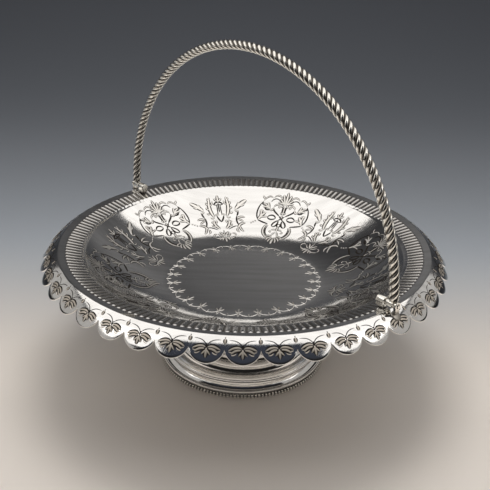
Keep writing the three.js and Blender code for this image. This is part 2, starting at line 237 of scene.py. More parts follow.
def strip(first, a, b, second):
    """Triangles between a ring of a points and one of b: each edge joins the point that faces its middle."""
    i, j = np.arange(a), np.arange(b)
    facing = second + ((2 * i + 1) * b + a - 1) // (2 * a) % b
    behind = first + ((2 * j + 1) * a + b) // (2 * b) % a
    return np.concatenate([
        np.stack([first + (i + 1) % a, first + i, facing], -1),
        np.stack([second + j, second + (j + 1) % b, behind], -1),
    ])


def outward(vertices, triangles):
    """The closed surface with its triangles facing out, as they do where its signed volume is positive."""
    corners = vertices[triangles]
    if np.einsum("ij,ij->", corners[:, 0], np.cross(corners[:, 1], corners[:, 2])) < 0:
        triangles = triangles[:, ::-1]
    return vertices, triangles


def shell(rings, closed="poles"):
    """Closed surface over rings of points: poles close its two ends, or its last ring meets its first."""
    points = [np.asarray(r) for r in rings]
    sizes = [len(r) for r in points]
    starts = np.concatenate([[0], np.cumsum(sizes)])
    last = len(sizes) - 1
    faces = [strip(starts[k], sizes[k], sizes[k + 1], starts[k + 1]) for k in range(last)]
    if closed == "loop":
        faces.append(strip(starts[last], sizes[last], sizes[0], 0))
    else:
        for pole, end in enumerate((0, last)):
            k = starts[end] + np.arange(sizes[end])
            edge = (k, np.roll(k, -1)) if end == 0 else (np.roll(k, -1), k)
            faces.append(np.stack([np.full(sizes[end], starts[-1] + pole), *edge], -1))
            points.append(points[end].mean(0)[None])
    return outward(np.concatenate(points), np.concatenate(faces))


def joined(shells):
    """Several shells as one set of points and triangles."""
    starts = np.cumsum([0] + [len(vertices) for vertices, _ in shells[:-1]])
    triangles = [triangles + start for (_, triangles), start in zip(shells, starts)]
    return np.concatenate([vertices for vertices, _ in shells]), np.concatenate(triangles)


def added(name, data):
    """A new object of the scene."""
    made = bpy.data.objects.new(name, data)
    bpy.context.scene.collection.objects.link(made)
    return made


def piece(name, surface, body, material, nodes=(), tarnish_and_shade_mask=None, smooth=50):
    """Makes the mesh object, gives it its finish, hangs it on the body it rides on and hides the imported
    solids it stands for.
    """
    vertices, triangles = surface
    if tarnish_and_shade_mask is None:
        tarnish_and_shade_mask = np.zeros(len(vertices))
    mesh = bpy.data.meshes.new(name)
    mesh.vertices.add(len(vertices))
    mesh.vertices.foreach_set("co", vertices.astype(np.float32).ravel())
    mesh.loops.add(triangles.size)
    mesh.loops.foreach_set("vertex_index", triangles.astype(np.int32).ravel())
    mesh.polygons.add(len(triangles))
    mesh.polygons.foreach_set("loop_start", np.arange(0, triangles.size, 3, dtype=np.int32))
    # How dark each point is: tarnish on the flutes, the engraving's darkened lines, and painted shade on the
    # foot, wire, bar and hinges
    mesh.attributes.new("tarnish_and_shade_mask", "FLOAT", "POINT").data.foreach_set("value", tarnish_and_shade_mask.astype(np.float32))
    mesh.update(calc_edges=True)
    if mesh.validate():
        raise RuntimeError(f"{name} has faces that Blender rejects")
    mesh.shade_smooth()
    mesh.set_sharp_from_angle(angle=math.radians(smooth))
    mesh.materials.append(material)
    made = added(name, mesh)
    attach(made, body)
    if nodes:
        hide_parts(*nodes)
    return made


# Dish

# Columns of points over each flute and lappet, and rows as shares of the way over each band
FLUTE_COLUMNS = 8
LAPPET_COLUMNS = 20
FLUTE_ROWS = np.array([0, 0.02, 0.05, 0.09, 0.14, 0.22, 0.36, 0.5, 0.64, 0.78, 0.86, 0.91, 0.95, 0.98, 1])
COVE_ROWS = (0.15, 0.35, 0.55, 0.75, 0.9, 0.96)
FLANGE_ROWS = (0.02, 0.06, 0.12, 0.25, 0.38, 0.5, 0.62, 0.74, 0.84, 0.92, 1)
FLANGE_UNDER_ROWS = (1, 0.92, 0.8, 0.65, 0.5, 0.3, 0.12)
BOWL_UNDER_ROWS = np.linspace(0.99, 0.02, 20)
# Radius of the innermost ring of points, and rounding of the flange's edge with its rows in degrees
WELL_CORE = 0.012
EDGE_ROUND = 0.00045
EDGE_ANGLES = (60, 30, 0, -30, -60)
# A flute's ridge: its height at the inner end, the share of its length over which it grows, how pointed it
# is, how far all of it lies under the band, and the way from its ends over which it sinks in
RIDGE_START = 0.55
RIDGE_GROWTH = 0.75
RIDGE_POWER = 1.4
RIDGE_SINK = 0.15
RIDGE_FADE = 0.0008
# How dark the flutes are on their ridges and at their ends, as shares of the grooves' darkness, and the
# range of height, as shares of a ridge, over which the darkness fades
RIDGE_SHADE = 0.45
END_SHADE = 0.7
GROOVE_RANGE = (0.2, 0.7)
# Rows beside an edge, as distances outward and up from it, how much the wall's edge turns, and how far the
# underside's rows are moved up at the cove and outward at the wall
WALL_EDGE = ((-0.0003, -0.0003), (0.0004, 0.00017))
WALL_EDGE_TURN = math.radians(-22)
BAND_END = (-0.0003, -0.0001)
CREST_UNDERSIDE = (-0.0009, -0.0001)
COVE_UNDERSIDE = 0.0001
WALL_UNDERSIDE = 0.0006


def dish_levels(d):
    """Radii and heights that follow from the dish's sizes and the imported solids."""
    level = SimpleNamespace(well=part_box("dish")[0][2] + d.sheet, tip=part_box("dish")[1][0])
    level.edge = level.well + d.bowl_depth
    level.lip = level.edge + d.band_rise
    level.flute_top = level.lip + d.flute_rise
    level.crest = level.flute_top + d.crest_rise
    level.flute_inner = d.bowl_radius + d.band_width
    level.flute_outer = level.flute_inner + d.flute_length
    level.flange_top = level.flute_outer + d.cove_width
    level.tip_z = level.crest - (level.tip - level.flange_top) * math.tan(d.flange_slope)
    return level


def bowl_profile(d, flat_steps=5, steps=24):
    """Radius and height from the middle of the well up the bowl's wall: a flat, then an arc that steepens."""
    level = dish_levels(d)
    chord = math.atan2(d.bowl_depth, d.bowl_radius - d.well_radius)
    wall = arc((d.well_radius, level.well), (d.bowl_radius, level.edge), 2 * (chord - d.start_slope), steps)
    radii = np.linspace(WELL_CORE, d.well_radius, flat_steps + 1)[:-1]
    return np.concatenate([np.stack([radii, np.full(flat_steps, level.well)], -1), wall])


def flange_profile(d, steps=24):
    """Radius and height down the flange: an arc that falls more steeply toward the lappets' tips."""
    level = dish_levels(d)
    return arc((level.flange_top, level.crest), (level.tip, level.tip_z), -d.flange_turn, steps)


def chart(profile, start=0.0):
    """Turns a distance along the profile into radius, height and the outward normal's two parts."""
    along = distances(profile) - start
    slope = np.gradient(profile, along, axis=0)
    slope /= np.hypot(slope[:, 0], slope[:, 1])[:, None]

    def place(distance):
        radius = np.interp(distance, along, profile[:, 0])
        z = np.interp(distance, along, profile[:, 1])
        return radius, z, -np.interp(distance, along, slope[:, 1]), np.interp(distance, along, slope[:, 0])
    return place, along[-1]


def flange_distance(d, radius):
    """Distance down the flange at which it has the given radius."""
    place, total = chart(flange_profile(d))
    steps = np.linspace(0, total, 200)
    return np.interp(radius, place(steps)[0], steps)


def flute_relief(d, travel):
    """Height of the ridges: across, one wave over each flute; along, growing from a low inner end and rounded
    off at the outer one."""
    columns = FLUTE_COLUMNS * d.flute_count
    across = np.abs((np.arange(columns) / FLUTE_COLUMNS + 0.5) % 1 * 2 - 1)
    end = max(1 - (d.flute_length - travel) / d.flute_end, 0)
    growth = RIDGE_START + (1 - RIDGE_START) * min(travel / (RIDGE_GROWTH * d.flute_length), 1)
    wave = np.cos(0.5 * math.pi * np.clip(np.hypot(across, end), 0, 1)) ** (RIDGE_POWER * (1 + end))
    return d.flute_depth * wave * growth


def flute_row(d, level, travel, drop=0.0, inside=1.0):
    """A row of points over all flutes, lowered by the drop, and the ridges' height there."""
    relief = flute_relief(d, travel)
    rise = level.lip + d.flute_rise * travel / d.flute_length - drop
    z = rise + relief - RIDGE_SINK * d.flute_depth * inside
    return ring(len(relief), level.flute_inner + travel, z), relief


def flute_dirt(relief, inside):
    """How dark a row of the flutes is: darkest in the grooves, and less so at the flutes' ends."""
    height = relief / relief.max() if relief.max() > 0 else 0 * relief
    return np.interp(inside, (0, 1), (END_SHADE, 1)) * np.interp(height, GROOVE_RANGE, (1, RIDGE_SHADE))


def dish_top(d, level, columns):
    """Rows of the upper side, each with how dark it is: well, wall, plain band, flutes and cove."""
    wall_edge = np.array([d.bowl_radius, level.edge])
    rounding = arc(wall_edge + WALL_EDGE[0], wall_edge + WALL_EDGE[1], WALL_EDGE_TURN, 4)
    for r, z in np.concatenate([bowl_profile(d)[:-1], rounding]):
        yield ring(columns, r, z), 0
    yield ring(columns, level.flute_inner + BAND_END[0], level.lip + BAND_END[1]), 0
    for travel in d.flute_length * FLUTE_ROWS:
        inside = min(travel, d.flute_length - travel, RIDGE_FADE) / RIDGE_FADE
        points, relief = flute_row(d, level, travel, inside=inside)
        yield points, flute_dirt(relief, inside)
    for t in COVE_ROWS:
        z = level.flute_top - d.cove_depth * math.sin(math.pi * t) + d.crest_rise * t
        yield ring(columns, level.flute_outer + d.cove_width * t, z), 0


def lappet_edge(d, columns):
    """Radius and angle shift of the flange's outline: each lappet is a round lobe between two notches."""
    per_lappet = columns // d.lappet_count
    step = (np.arange(columns) + per_lappet // 2) % per_lappet - per_lappet // 2
    sweep = math.pi * step / per_lappet
    radius = dish_levels(d).tip - d.lappet_reach * (1 - np.cos(sweep))
    shift = (np.sin(sweep) - 2 * step / per_lappet) * math.pi / d.lappet_count
    return radius, shift


def flange_rows(d, columns):
    """Rows down the flange, round its edge and back beneath it: they fan out into the lappets."""
    place, _ = chart(flange_profile(d))
    outline, shift = lappet_edge(d, columns)
    reach = flange_distance(d, outline) - EDGE_ROUND
    for t in FLANGE_ROWS:
        r, z, _, _ = place(reach * t)
        yield ring(columns, r, z, shift * t ** 3), 0
    r, z, nr, nz = place(reach)
    for turn in np.radians(EDGE_ANGLES):
        out, up = EDGE_ROUND * math.cos(turn), d.sheet / 2 * (math.sin(turn) - 1)
        yield ring(columns, r + out * nz + up * nr, z - out * nr + up * nz, shift), 0
    for t in FLANGE_UNDER_ROWS:
        r, z, nr, nz = place(reach * t)
        yield ring(columns, r - d.sheet * nr, z - d.sheet * nz, shift * t ** 3), 0


def dish_underside(d, level, columns):
    """Rows back beneath the crest, the cove, the flutes and the bowl to the middle of the well."""
    yield ring(columns, level.flange_top + CREST_UNDERSIDE[0], level.crest - d.sheet + CREST_UNDERSIDE[1]), 0
    middle = level.flute_outer + 0.5 * d.cove_width
    yield ring(columns, middle, level.flute_top + COVE_UNDERSIDE - d.sheet), 0
    for travel in d.flute_length * FLUTE_ROWS[::-2]:
        yield flute_row(d, level, travel, d.sheet)[0], 0
    yield ring(columns, d.bowl_radius + WALL_UNDERSIDE, level.edge - d.sheet), 0
    place, total = chart(bowl_profile(d))
    for t in BOWL_UNDER_ROWS:
        r, z, nr, nz = place(total * t)
        yield ring(columns, r - d.sheet * nr, z - d.sheet * nz), 0


def dish_surface(d):
    """The whole sheet as one closed surface, from the middle of the well out over the rim and back beneath,
    and how dark each point is."""
    level = dish_levels(d)
    fine = d.lappet_count * LAPPET_COLUMNS
    rows = [*dish_top(d, level, fine // 2), *flange_rows(d, fine), *dish_underside(d, level, fine // 2)]
    tarnish_and_shade_values = [np.broadcast_to(dark, len(points)) for points, dark in rows]
    return shell([points for points, _ in rows]), np.concatenate([*tarnish_and_shade_values, np.zeros(2)])


# Engraving: each stroke is x y x y x y x y of a curve's four points and its width, in millimetres.
# x runs round the basket, y outward along the sheet. Paired strokes are drawn on both sides of x = 0.
# Strokes of negative width are bright cuts without dark edges.

LAPPET = {
    "paired": [
        (0.6, -0.2, 2.2, -1.5, 4.8, -0.7, 7.3, 0.9, 2.4), (0.9, 0.6, 2.6, 0.2, 4.6, 1, 5.9, 2.6, 2.6),
        (0.2, 1, 0.8, 2, 1.5, 2.8, 2.3, 3.7, 2), (0, -0.6, 0.8, -3.2, 2.8, -4.8, 7.2, -4.7, 0.55),
        (0.3, -0.6, 1.8, -2.8, 4.6, -2, 7.2, -0.4, 0.45), (0.5, 0.2, 1.4, 0.8, 1.8, 1.6, 2.5, 2.6, 0.5),
        (7.2, 1.4, 6.2, 2, 5.4, 1.9, 4.4, 1.3, -0.6), (5.8, 3.2, 5, 3.4, 4, 3.2, 3.2, 2.2, -0.6),
    ],
    "single": [
        (0, 0, 0, 1.8, 0, 3.6, 0, 5.3, 2.8), (0, -2.2, 0, -1.4, 0, -0.6, 0, 0.4, 0.9),
        (9.33, -5.4, 9.33, -4.6, 9.33, -3.8, 9.33, -2.8, 2.5),
        (9.33, -6.4, 9.33, -6.1, 9.33, -5.9, 9.33, -5.5, 0.6),
        (8.4, -3.4, 8.8, -2.6, 9.9, -2.6, 10.3, -3.4, -0.4),
    ],
}
CARTOUCHE = {
    "paired": [
        (2.6, 48.6, 4.5, 53, 8.5, 54, 10.6, 49.6, 1.8), (10.6, 49.6, 12.6, 52.6, 16, 51, 17.4, 46.2, 1.8),
        (17.4, 46.2, 18, 44.4, 17, 43.2, 15.8, 43.8, 1.5),
        (16.4, 48.6, 17.4, 49.2, 18.4, 50.2, 18.6, 51.6, 1.8),
        (4.6, 47.6, 7, 50.8, 10.4, 49.8, 11.4, 46.4, 1.01), (17.6, 46, 20.6, 41, 20.2, 34, 17, 29.2, 1.25),
        (3.2, 43.8, 5.6, 45.2, 8, 44.6, 8.2, 41.6, 1.9), (8.2, 41.8, 8.4, 39.2, 9.6, 38.4, 10.8, 39.4, 2.2),
        (10.6, 39.4, 11.6, 40.2, 11.4, 41.2, 10.6, 41.6, 1.7),
        (4.8, 44.6, 4.6, 43.2, 4.2, 42.2, 3.6, 41.4, 1.7), (11.4, 40.4, 12.2, 42.4, 13, 44, 13.2, 45.8, 2.6),
        (11.6, 40.6, 13.4, 41.8, 15.2, 42.2, 16.6, 41.4, 2.9),
        (12, 41, 14, 43.4, 15.6, 44.6, 17.2, 44.4, 2.2), (10.6, 39.8, 11.8, 38.4, 13.6, 39.2, 15, 40.4, 1.5),
        (16.8, 29.2, 16.2, 32, 14.8, 34.6, 12.8, 36.8, 3.5),
        (16.6, 30, 15.4, 33.4, 16, 36.6, 17.6, 38.8, 2.6),
        (16.4, 31, 14.4, 32.4, 12.6, 32.6, 10.6, 32.3, 2.2),
        (14.4, 35.4, 15.2, 38.2, 17.6, 38.8, 17.8, 36.6, 1.7),
        (17, 29, 14.4, 27.6, 11.4, 26.4, 8.4, 25.6, 1.46),
        (8.4, 25.6, 11.6, 21.6, 10.2, 14.6, 4.6, 10.4, 2.5),
        (7.6, 24.4, 9.4, 20.6, 8.2, 15.2, 4.4, 12.4, 1.01), (0.6, 11.6, 2, 10.6, 2.6, 8.6, 2.6, 6.4, 2.9),
        (1.2, 12.2, 3.2, 12, 4.4, 10.6, 4.6, 8.6, 2.8), (1.6, 12.8, 3.4, 14, 5.2, 13.6, 6, 11.8, 2.2),
        (0, 26.6, 1.8, 26.6, 1.8, 23.8, 0, 23.8, 1.3), (0.4, 20.4, 1.8, 20.6, 3.2, 20.8, 4.2, 19.4, 1.9),
        (4.2, 19.6, 5.2, 18.4, 4.4, 17, 3, 17.8, 1.8), (0.4, 18.8, 1, 17, 2.4, 15.6, 2, 13.4, 1.7),
        (4.2, 32, 5.8, 35.2, 9.2, 35.4, 10.6, 32.2, 1.46), (4.2, 32, 5.8, 29.8, 9, 29.6, 10.6, 32.2, 1.46),
        (1.6, 30.2, 3.2, 29.2, 6.4, 25.8, 4.6, 23.4, 1.46), (1.6, 30.2, 0.8, 27, 2.2, 23, 4.6, 23.4, 1.46),
        (2.2, 34.2, 4.2, 36.6, 8.4, 38.4, 8.2, 41.6, 1.46), (1.2, 35.6, 1, 38.6, 0.6, 41.6, 1.8, 43.4, 1.46),
        (0, 36.8, 0.8, 37.8, 1.6, 37.4, 2.2, 36.2, 1.8), (1.6, 30.2, 0.6, 31.6, -0.6, 33, -2.2, 34.2, 1.46),
        (0.6, 45.2, 1.4, 48, 2.2, 51, 3.2, 53.8, 2.8), (1, 45.4, 2.8, 47.4, 4, 48.8, 5.4, 49.8, 2.5),
        (1, 45.2, 3, 46, 4.6, 46.6, 6.2, 46.2, 2.5), (0.6, 44.8, 1.6, 44.2, 2.6, 43.4, 3.2, 42.2, 2.1),
        (18, 28.2, 18.3, 27.9, 18.6, 27.6, 18.9, 27.3, 1.9),
        (19.2, 27, 19.5, 26.7, 19.8, 26.5, 20.1, 26.2, 1.9),
        (20.4, 25.9, 20.7, 25.7, 21, 25.4, 21.3, 25.2, 1.9),
    ],
    "single": [
        (0, 11, 0, 9, 0, 7, 0, 4.4, 3.5), (0, 23.8, 0, 22.4, 0, 20.8, 0, 19, 2.5),
        (0, 44.4, 0, 41, 0, 38, 0, 34.6, 1.8), (0, 35.4, 0, 34.4, 0, 33.2, 0, 31.6, 1.8),
        (0, 44.6, 0, 48, 0, 52, 0, 56.2, 3.1),
    ],
}
SPRAY = {
    "paired": [
        (4.6, 31.6, 6.8, 36, 8.6, 42, 6.2, 49.8, 3.5), (7, 35, 8.4, 34.6, 9.2, 35, 9.8, 36.2, 2.1),
        (7.6, 39, 8.8, 39.2, 9.6, 40, 9.8, 41.4, 2.1), (7.6, 43, 8.8, 43.4, 9.4, 44.4, 9.4, 46, 1.9),
        (6.8, 46.4, 7.8, 47.2, 8, 48.2, 7.8, 49.6, 1.7), (6.6, 42, 5.4, 43, 4.6, 45, 4.2, 46.8, 1.7),
        (4.6, 31.6, 5.4, 30, 6.8, 30.2, 7.6, 31.8, 1.7), (0.2, 45.6, 1.2, 46.8, 2.2, 47.4, 3, 48.8, 2.1),
        (0.2, 45, 1.6, 45.4, 2.6, 44.6, 3.2, 43.4, 1.5), (0, 43.4, 1.4, 42.2, 3, 42.6, 4.2, 44.2, 0.95),
        (0.6, 33, 1.6, 34.6, 3.2, 34.4, 3.8, 32.4, 1.8), (2.6, 32.8, 2.2, 30.4, 1.2, 28.4, 0, 26.6, 1.46),
        (1.4, 43, 1, 40, 1.5, 37, 1.4, 33.6, 0.95), (2, 19.6, 4.6, 21.6, 6.2, 24.6, 5.6, 28.8, 3.2),
        (4.4, 22.6, 6, 22.2, 7.2, 22.8, 7.8, 24.4, 2.1), (5.4, 25.6, 6.6, 25.6, 7.4, 26.6, 7.5, 28, 1.8),
        (4.8, 24.8, 3.6, 25.8, 3.5, 27.4, 3.9, 28.8, 1.8), (12.2, 38.2, 15, 41.6, 18.6, 44.4, 22.2, 47, 4),
        (14.6, 40.6, 14.5, 42.4, 15.2, 43.6, 16.4, 44.6, 2.1),
        (15.8, 41.4, 17.6, 41.2, 18.9, 42, 19.8, 43.6, 2.1),
        (12.2, 38.4, 11.8, 36.2, 13.8, 35.6, 14.8, 37.4, 1.8),
        (14, 36.6, 13.8, 34.6, 13.2, 33.4, 12.4, 32, 1.46), (12.4, 32, 11.4, 29, 11, 26, 12.4, 22.6, 1.46),
        (12, 29.6, 14, 31, 16.2, 31.6, 18.4, 30.4, 2.5), (12, 28.8, 13.8, 28.6, 15.4, 27.8, 16.4, 26.4, 2.2),
        (17.8, 24.8, 14.8, 25.6, 12.6, 23.2, 11.2, 20, 2.8),
        (12.6, 23.4, 12.6, 19.8, 13, 17.6, 14.8, 15.8, 2.5), (11.2, 20.2, 10, 18.4, 9.8, 16.6, 11.8, 15, 2.1),
        (11.6, 21.8, 9, 22.4, 6.4, 20.4, 4, 18.6, 1.06), (0.4, 9.6, 3, 8.4, 6, 8.6, 7.6, 11, 2.2),
        (7.6, 11, 8.8, 13.2, 7, 15.2, 5.2, 13.8, 1.9), (0.6, 12, 1.4, 13.8, 2.4, 15.2, 3.6, 16.2, 2.5),
        (0.8, 11, 2.6, 11.6, 4.2, 13, 4.8, 14.8, 1.9), (0.4, 10, 1.6, 9.4, 2.4, 8.2, 2.6, 6.6, 2.6),
        (0.8, 9.8, 2.6, 9.8, 3.8, 8.8, 4.6, 7.4, 2.2),
    ],
    "single": [
        (0, 45.2, 0, 47, 0, 49, 0, 51.4, 2.8), (0, 45, 0, 42, 0, 39, 0, 36, 1.17),
        (0, 18.4, 0, 15.6, 0, 13, 0, 10.4, 1.7), (0, 10.4, 0, 8.8, 0, 7, 0, 4.8, 3.2),
    ],
}
GARLAND = {
    "paired": [
        (0, -1, 2.6, -1, 5, -2, 6.4, -4.6, -0.48), (6.5, -4.6, 5.4, -5.2, 4.4, -6.2, 3.8, -7.6, -1.2),
        (6.7, -4.6, 7.8, -5.2, 8.8, -6.2, 9.4, -7.6, -1.2), (6.4, -4.6, 6, -3.4, 5.8, -2.2, 6.6, -0.4, -0.48),
    ],
    "single": [
        (0, -0.2, 0, -1, 0, -2.2, 0, -3.6, -0.96), (6.6, -4.6, 6.6, -6.4, 6.6, -8, 6.6, -9.8, -1.44),
    ],
}
# Half of a lappet's and a garland's repeat as they are drawn, and where each motif stands: in degrees, but
# the garland's start in repeats
LAPPET_HALF = 9.33
GARLAND_HALF = 6.6
CARTOUCHE_ANGLES = (0, 58.5, 118, 180.4, 240, 300)
SPRAY_ANGLES = (29, 90, 150.2, 210.4, 270, 330)
GARLAND_COUNT = 24
GARLAND_START = 0.4
# Least distance of a stroke from the crest, in metres
CREST_CLEAR = 0.0002
# Strokes wider than BROAD have a light middle between two dark rims: RIM wide, in millimetres, or RIM_LIMIT
# of a narrow stroke's half width
BROAD = 1.5
RIM = 0.95
RIM_LIMIT = 0.6
# Sections across a stroke: side, how many rims inward, share of the height, and how dark it is
LEAF_SECTION = (
    (-1, 0, 0, 1), (-1, 0.8, 0.45, 1), (-1, 1.2, 0.85, 0.1), (0, 0, 1, 0),
    (1, 1.2, 0.85, 0.1), (1, 0.8, 0.45, 1), (1, 0, 0, 1),
)
LINE_SECTION = ((-1, 0, 0, 1), (0, 0, 1, 1), (1, 0, 0, 1))
BRIGHT_SECTION = ((-1, 0, 0, 0), (0, 0, 1, 0), (1, 0, 0, 0))
# How a stroke swells along its way: the power of a half wave at each width, in millimetres
SWELL_WIDTHS = (BROAD, BROAD + 0.1, 2.0, 2.3)
SWELL_POWERS = (0.25, 0.6, 0.6, 0.3)


def motif(drawing):
    """The drawing's strokes with the paired ones mirrored: curve points in metres, and widths."""
    paired = np.array(drawing["paired"])
    mirrored = paired * np.array([-1, 1] * 4 + [1])
    strokes = np.concatenate([paired, mirrored, np.array(drawing["single"])])
    return strokes[:, :8].reshape(-1, 4, 2) * MM, strokes[:, 8] * MM


def stroke_relief(strokes, widths, sizes, place, round_angle, section, stations=9):
    """Relief along cubic curves on the sheet: the section is carried along each curve and drawn to a point at
    its ends, for all strokes at once. Gives radius, angle and height of the points, the triangles, and how
    dark each point is."""
    toward, rims, lift, dark = np.array(section).T
    rim = np.minimum(RIM * MM / (0.5 * widths), RIM_LIMIT)[:, None]
    across = (toward * (1 - rims * rim))[:, None]
    t = np.linspace(0, 1, stations)[None, :, None]
    a, b, c, d = (strokes[:, k][:, None, :] for k in range(4))
    line = (1 - t) ** 3 * a + 3 * (1 - t) ** 2 * t * b + 3 * (1 - t) * t ** 2 * c + t ** 3 * d
    tangent = (1 - t) ** 2 * (b - a) + 2 * (1 - t) * t * (c - b) + t ** 2 * (d - c)
    tangent /= np.linalg.norm(tangent, axis=-1, keepdims=True) + 1e-12
    side = np.stack([-tangent[..., 1], tangent[..., 0]], -1)
    power = np.interp(widths / MM, SWELL_WIDTHS, SWELL_POWERS)[:, None]
    swell = np.sin(math.pi * np.clip(t[..., 0], 0.004, 0.996)) ** power
    half = 0.5 * widths[:, None] * swell
    flat = line[:, :, None] + side[:, :, None] * (half[..., None] * across)[..., None]
    rise = np.minimum(widths[:, None] * sizes.steepness, sizes.height) * swell
    up = rise[..., None] * lift - sizes.sink * (lift == 0)
    radius, z, normal_r, normal_z = place(flat[..., 1])
    theta = round_angle(flat[..., 0], radius)
    lines = len(lift)
    index = np.arange(theta.size).reshape(theta.shape)
    here, ahead = index[:, :-1], index[:, 1:]
    faces = []
    for j in range(lines):
        k = (j + 1) % lines
        faces.append(np.stack([here[..., j], ahead[..., j], ahead[..., k]], -1).reshape(-1, 3))
        faces.append(np.stack([here[..., j], ahead[..., k], here[..., k]], -1).reshape(-1, 3))
    for j in range(1, lines - 1):
        faces.append(index[:, 0, [0, j, j + 1]])
        faces.append(index[:, -1, [0, j + 1, j]])
    shade = np.broadcast_to(dark, theta.shape).ravel()
    return (radius + up * normal_r, theta, z + up * normal_z), np.concatenate(faces), shade


def around(drawing, angles, sizes, place, round_angle):
    """The same motif at each of the given angles; round_angle turns x and radius into an angle."""
    strokes, widths = motif(drawing)
    broad = widths > BROAD * MM
    bright = widths < 0
    kinds = [(broad, LEAF_SECTION), (~broad & ~bright, LINE_SECTION), (bright, BRIGHT_SECTION)]
    reliefs = [
        stroke_relief(strokes[chosen], np.abs(widths[chosen]), sizes, place, round_angle, section)
        for chosen, section in kinds if chosen.any()
    ]
    shells = [
        (polar(radius, centre + theta, z).reshape(-1, 3), triangles)
        for centre in angles for (radius, theta, z), triangles, _ in reliefs
    ]
    shade = np.tile(np.concatenate([shade for _, _, shade in reliefs]), len(angles))
    return outward(*joined(shells)), shade


# Foot

FOOT_COLUMNS = 256
BEAD_COLUMNS = 8
BEAD_ROWS = 12
# Gap of a soldered seat, and how much thicker the spun shell is below its neck
SEAT = 0.0003
LINING = 1.5
# Corners of the mouldings from the ledge up to the neck: millimetres inward from the wire's outside, and up
# from the table
MOULDINGS = (
    (1.1, 6.6), (4.1, 9.9), (4.4, 11), (6.9, 12.4), (9.5, 12), (10.4, 14.8), (15, 18.4), (15.7, 19.8),
)
# The rolled lip: how far it lies in from the ledge, and its two ends over the wire
LIP_INSET = 0.0001
LIP_ENDS = (0.0002, 0.0019)
# The groove over the rolled lip: how far it lies in from the wire's outside, and over the wire
GROOVE = (0.0019, 0.002)
# How much each arc of the outside turns
LIP_TURN, OVOLO_TURN, RIDGE_TURN, STEP_TURN, DOME_TURN, NECK_TURN = np.radians([70, 30, 50, 6, 40, -50])
# The flat rim inside, which the foot stands on, and the seat's width and height at the top
RIM_WIDTH = 0.003
SEAT_WIDTH = 0.0036
SEAT_HEIGHT = 0.0012
# The throat inside: how far it widens upward and how far under the top it starts, its straight part, and how
# much it turns above and below that
THROAT_FLARE = (0.001, 0.006)
THROAT_STRAIGHT = 0.001
THROAT_TURN = 0.2
BELL_TURN = math.radians(45)
# Reach and darkness of the shade painted in corners that turn inward
CORNER_SHADE_REACH = 0.00035
CORNER_SHADE = 0.7
# Corners that turn by more than this are softened
SOFTENED_FROM = math.radians(15)
# A bead: how far it draws in toward its neighbours and how squarely, how dark it is between two beads, where
# shade is painted, and on top, and the heights, as shares of its own, between which it changes
BEAD_NOTCH = 0.9
BEAD_POWER = 2.2
BEAD_SHADES = (1, 0.25)
BEAD_RANGE = (0.85, 0.98)


def softened(profile, edge):
    """The profile with each sharp corner drawn as a short curve that begins the given distance from it."""
    before, after = profile[:-2] - profile[1:-1], profile[2:] - profile[1:-1]
    rows = [profile[:1]]
    for corner, back, ahead in zip(profile[1:-1], before, after):
        spans = math.hypot(*back), math.hypot(*ahead)
        if np.dot(back, ahead) < -math.cos(SOFTENED_FROM) * spans[0] * spans[1]:
            rows.append(corner[None])
            continue
        first = corner + back * min(edge / spans[0], 0.4)
        last = corner + ahead * min(edge / spans[1], 0.4)
        t = np.linspace(0, 1, 5)[:, None]
        rows.append((1 - t) ** 2 * first + 2 * (1 - t) * t * corner + t ** 2 * last)
    return np.concatenate([*rows, profile[-1:]])


def foot_surface(f):
    """The foot's spun shell: mouldings from the base up to the seat, then back down inside, as one loop; and
    how much shade is painted at each point."""
    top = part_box("foot")[1][2]
    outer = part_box("foot_bead_wire")[1][0]
    wall = outer - f.wire - SEAT
    sill = f.wire + SEAT
    groove = outer - GROOVE[0]
    waist = (f.waist_radius, f.waist_height)
    ledge, ovolo, riser, ridge, step, rise, dome, neck = (
        (outer - inward * MM, up * MM) for inward, up in MOULDINGS
    )
    lip = ledge[0] - LIP_INSET
    rows = [
        [(wall, 0.0), (wall, sill), (ledge[0], sill)],
        arc((lip, sill + LIP_ENDS[0]), (lip, sill + LIP_ENDS[1]), LIP_TURN, 6),
        [(groove, sill + GROOVE[1]), (groove, ledge[1])],
        arc(ledge, ovolo, OVOLO_TURN, 7),
        arc(riser, ridge, RIDGE_TURN, 8),
        arc(step, rise, STEP_TURN, 2),
        arc(rise, dome, DOME_TURN, 9)[1:],
        arc(neck, waist, NECK_TURN, 14),
        arc(waist, (f.seat_radius, top - SEAT_HEIGHT), NECK_TURN, 12)[1:],
        [(f.seat_radius, top)],
    ]
    throat = f.waist_radius - f.shell
    lining = LINING * f.shell
    inside = [
        [(f.seat_radius - SEAT_WIDTH, top)],
        arc((throat + THROAT_FLARE[0], top - THROAT_FLARE[1]), (throat, f.waist_height), THROAT_TURN, 5),
        arc((throat, f.waist_height - THROAT_STRAIGHT), (neck[0] - lining, neck[1]), BELL_TURN, 8),
        [(step[0] - lining, step[1] - f.shell), (groove - lining, sill + GROOVE[1]), (wall - f.shell, sill),
         (wall - f.shell, f.shell), (wall - RIM_WIDTH, f.shell), (wall - RIM_WIDTH, 0.0)],
    ]
    outside, inside = (softened(np.concatenate(part), f.edge) for part in (rows, inside))
    rings = [ring(FOOT_COLUMNS, r, max(z, 0.0)) for r, z in np.concatenate([outside, inside])]
    tarnish_and_shade_values = np.concatenate([corner_painted_shade(outside), np.zeros(len(inside))])
    return shell(rings, "loop"), np.repeat(tarnish_and_shade_values, FOOT_COLUMNS)


def corner_painted_shade(profile):
    """How dark each point of the profile is: painted shade close to a corner that turns inward, none
    elsewhere.
    """
    step = np.diff(profile, axis=0)
    along = distances(profile)
    turn = step[:-1, 0] * step[1:, 1] - step[:-1, 1] * step[1:, 0]
    turn /= np.hypot(*step[:-1].T) * np.hypot(*step[1:].T)
    corners = along[1:-1][turn < -0.1]
    gap = np.abs(along[:, None] - corners[None]).min(axis=1)
    return CORNER_SHADE * np.exp(-(gap / CORNER_SHADE_REACH) ** 2)


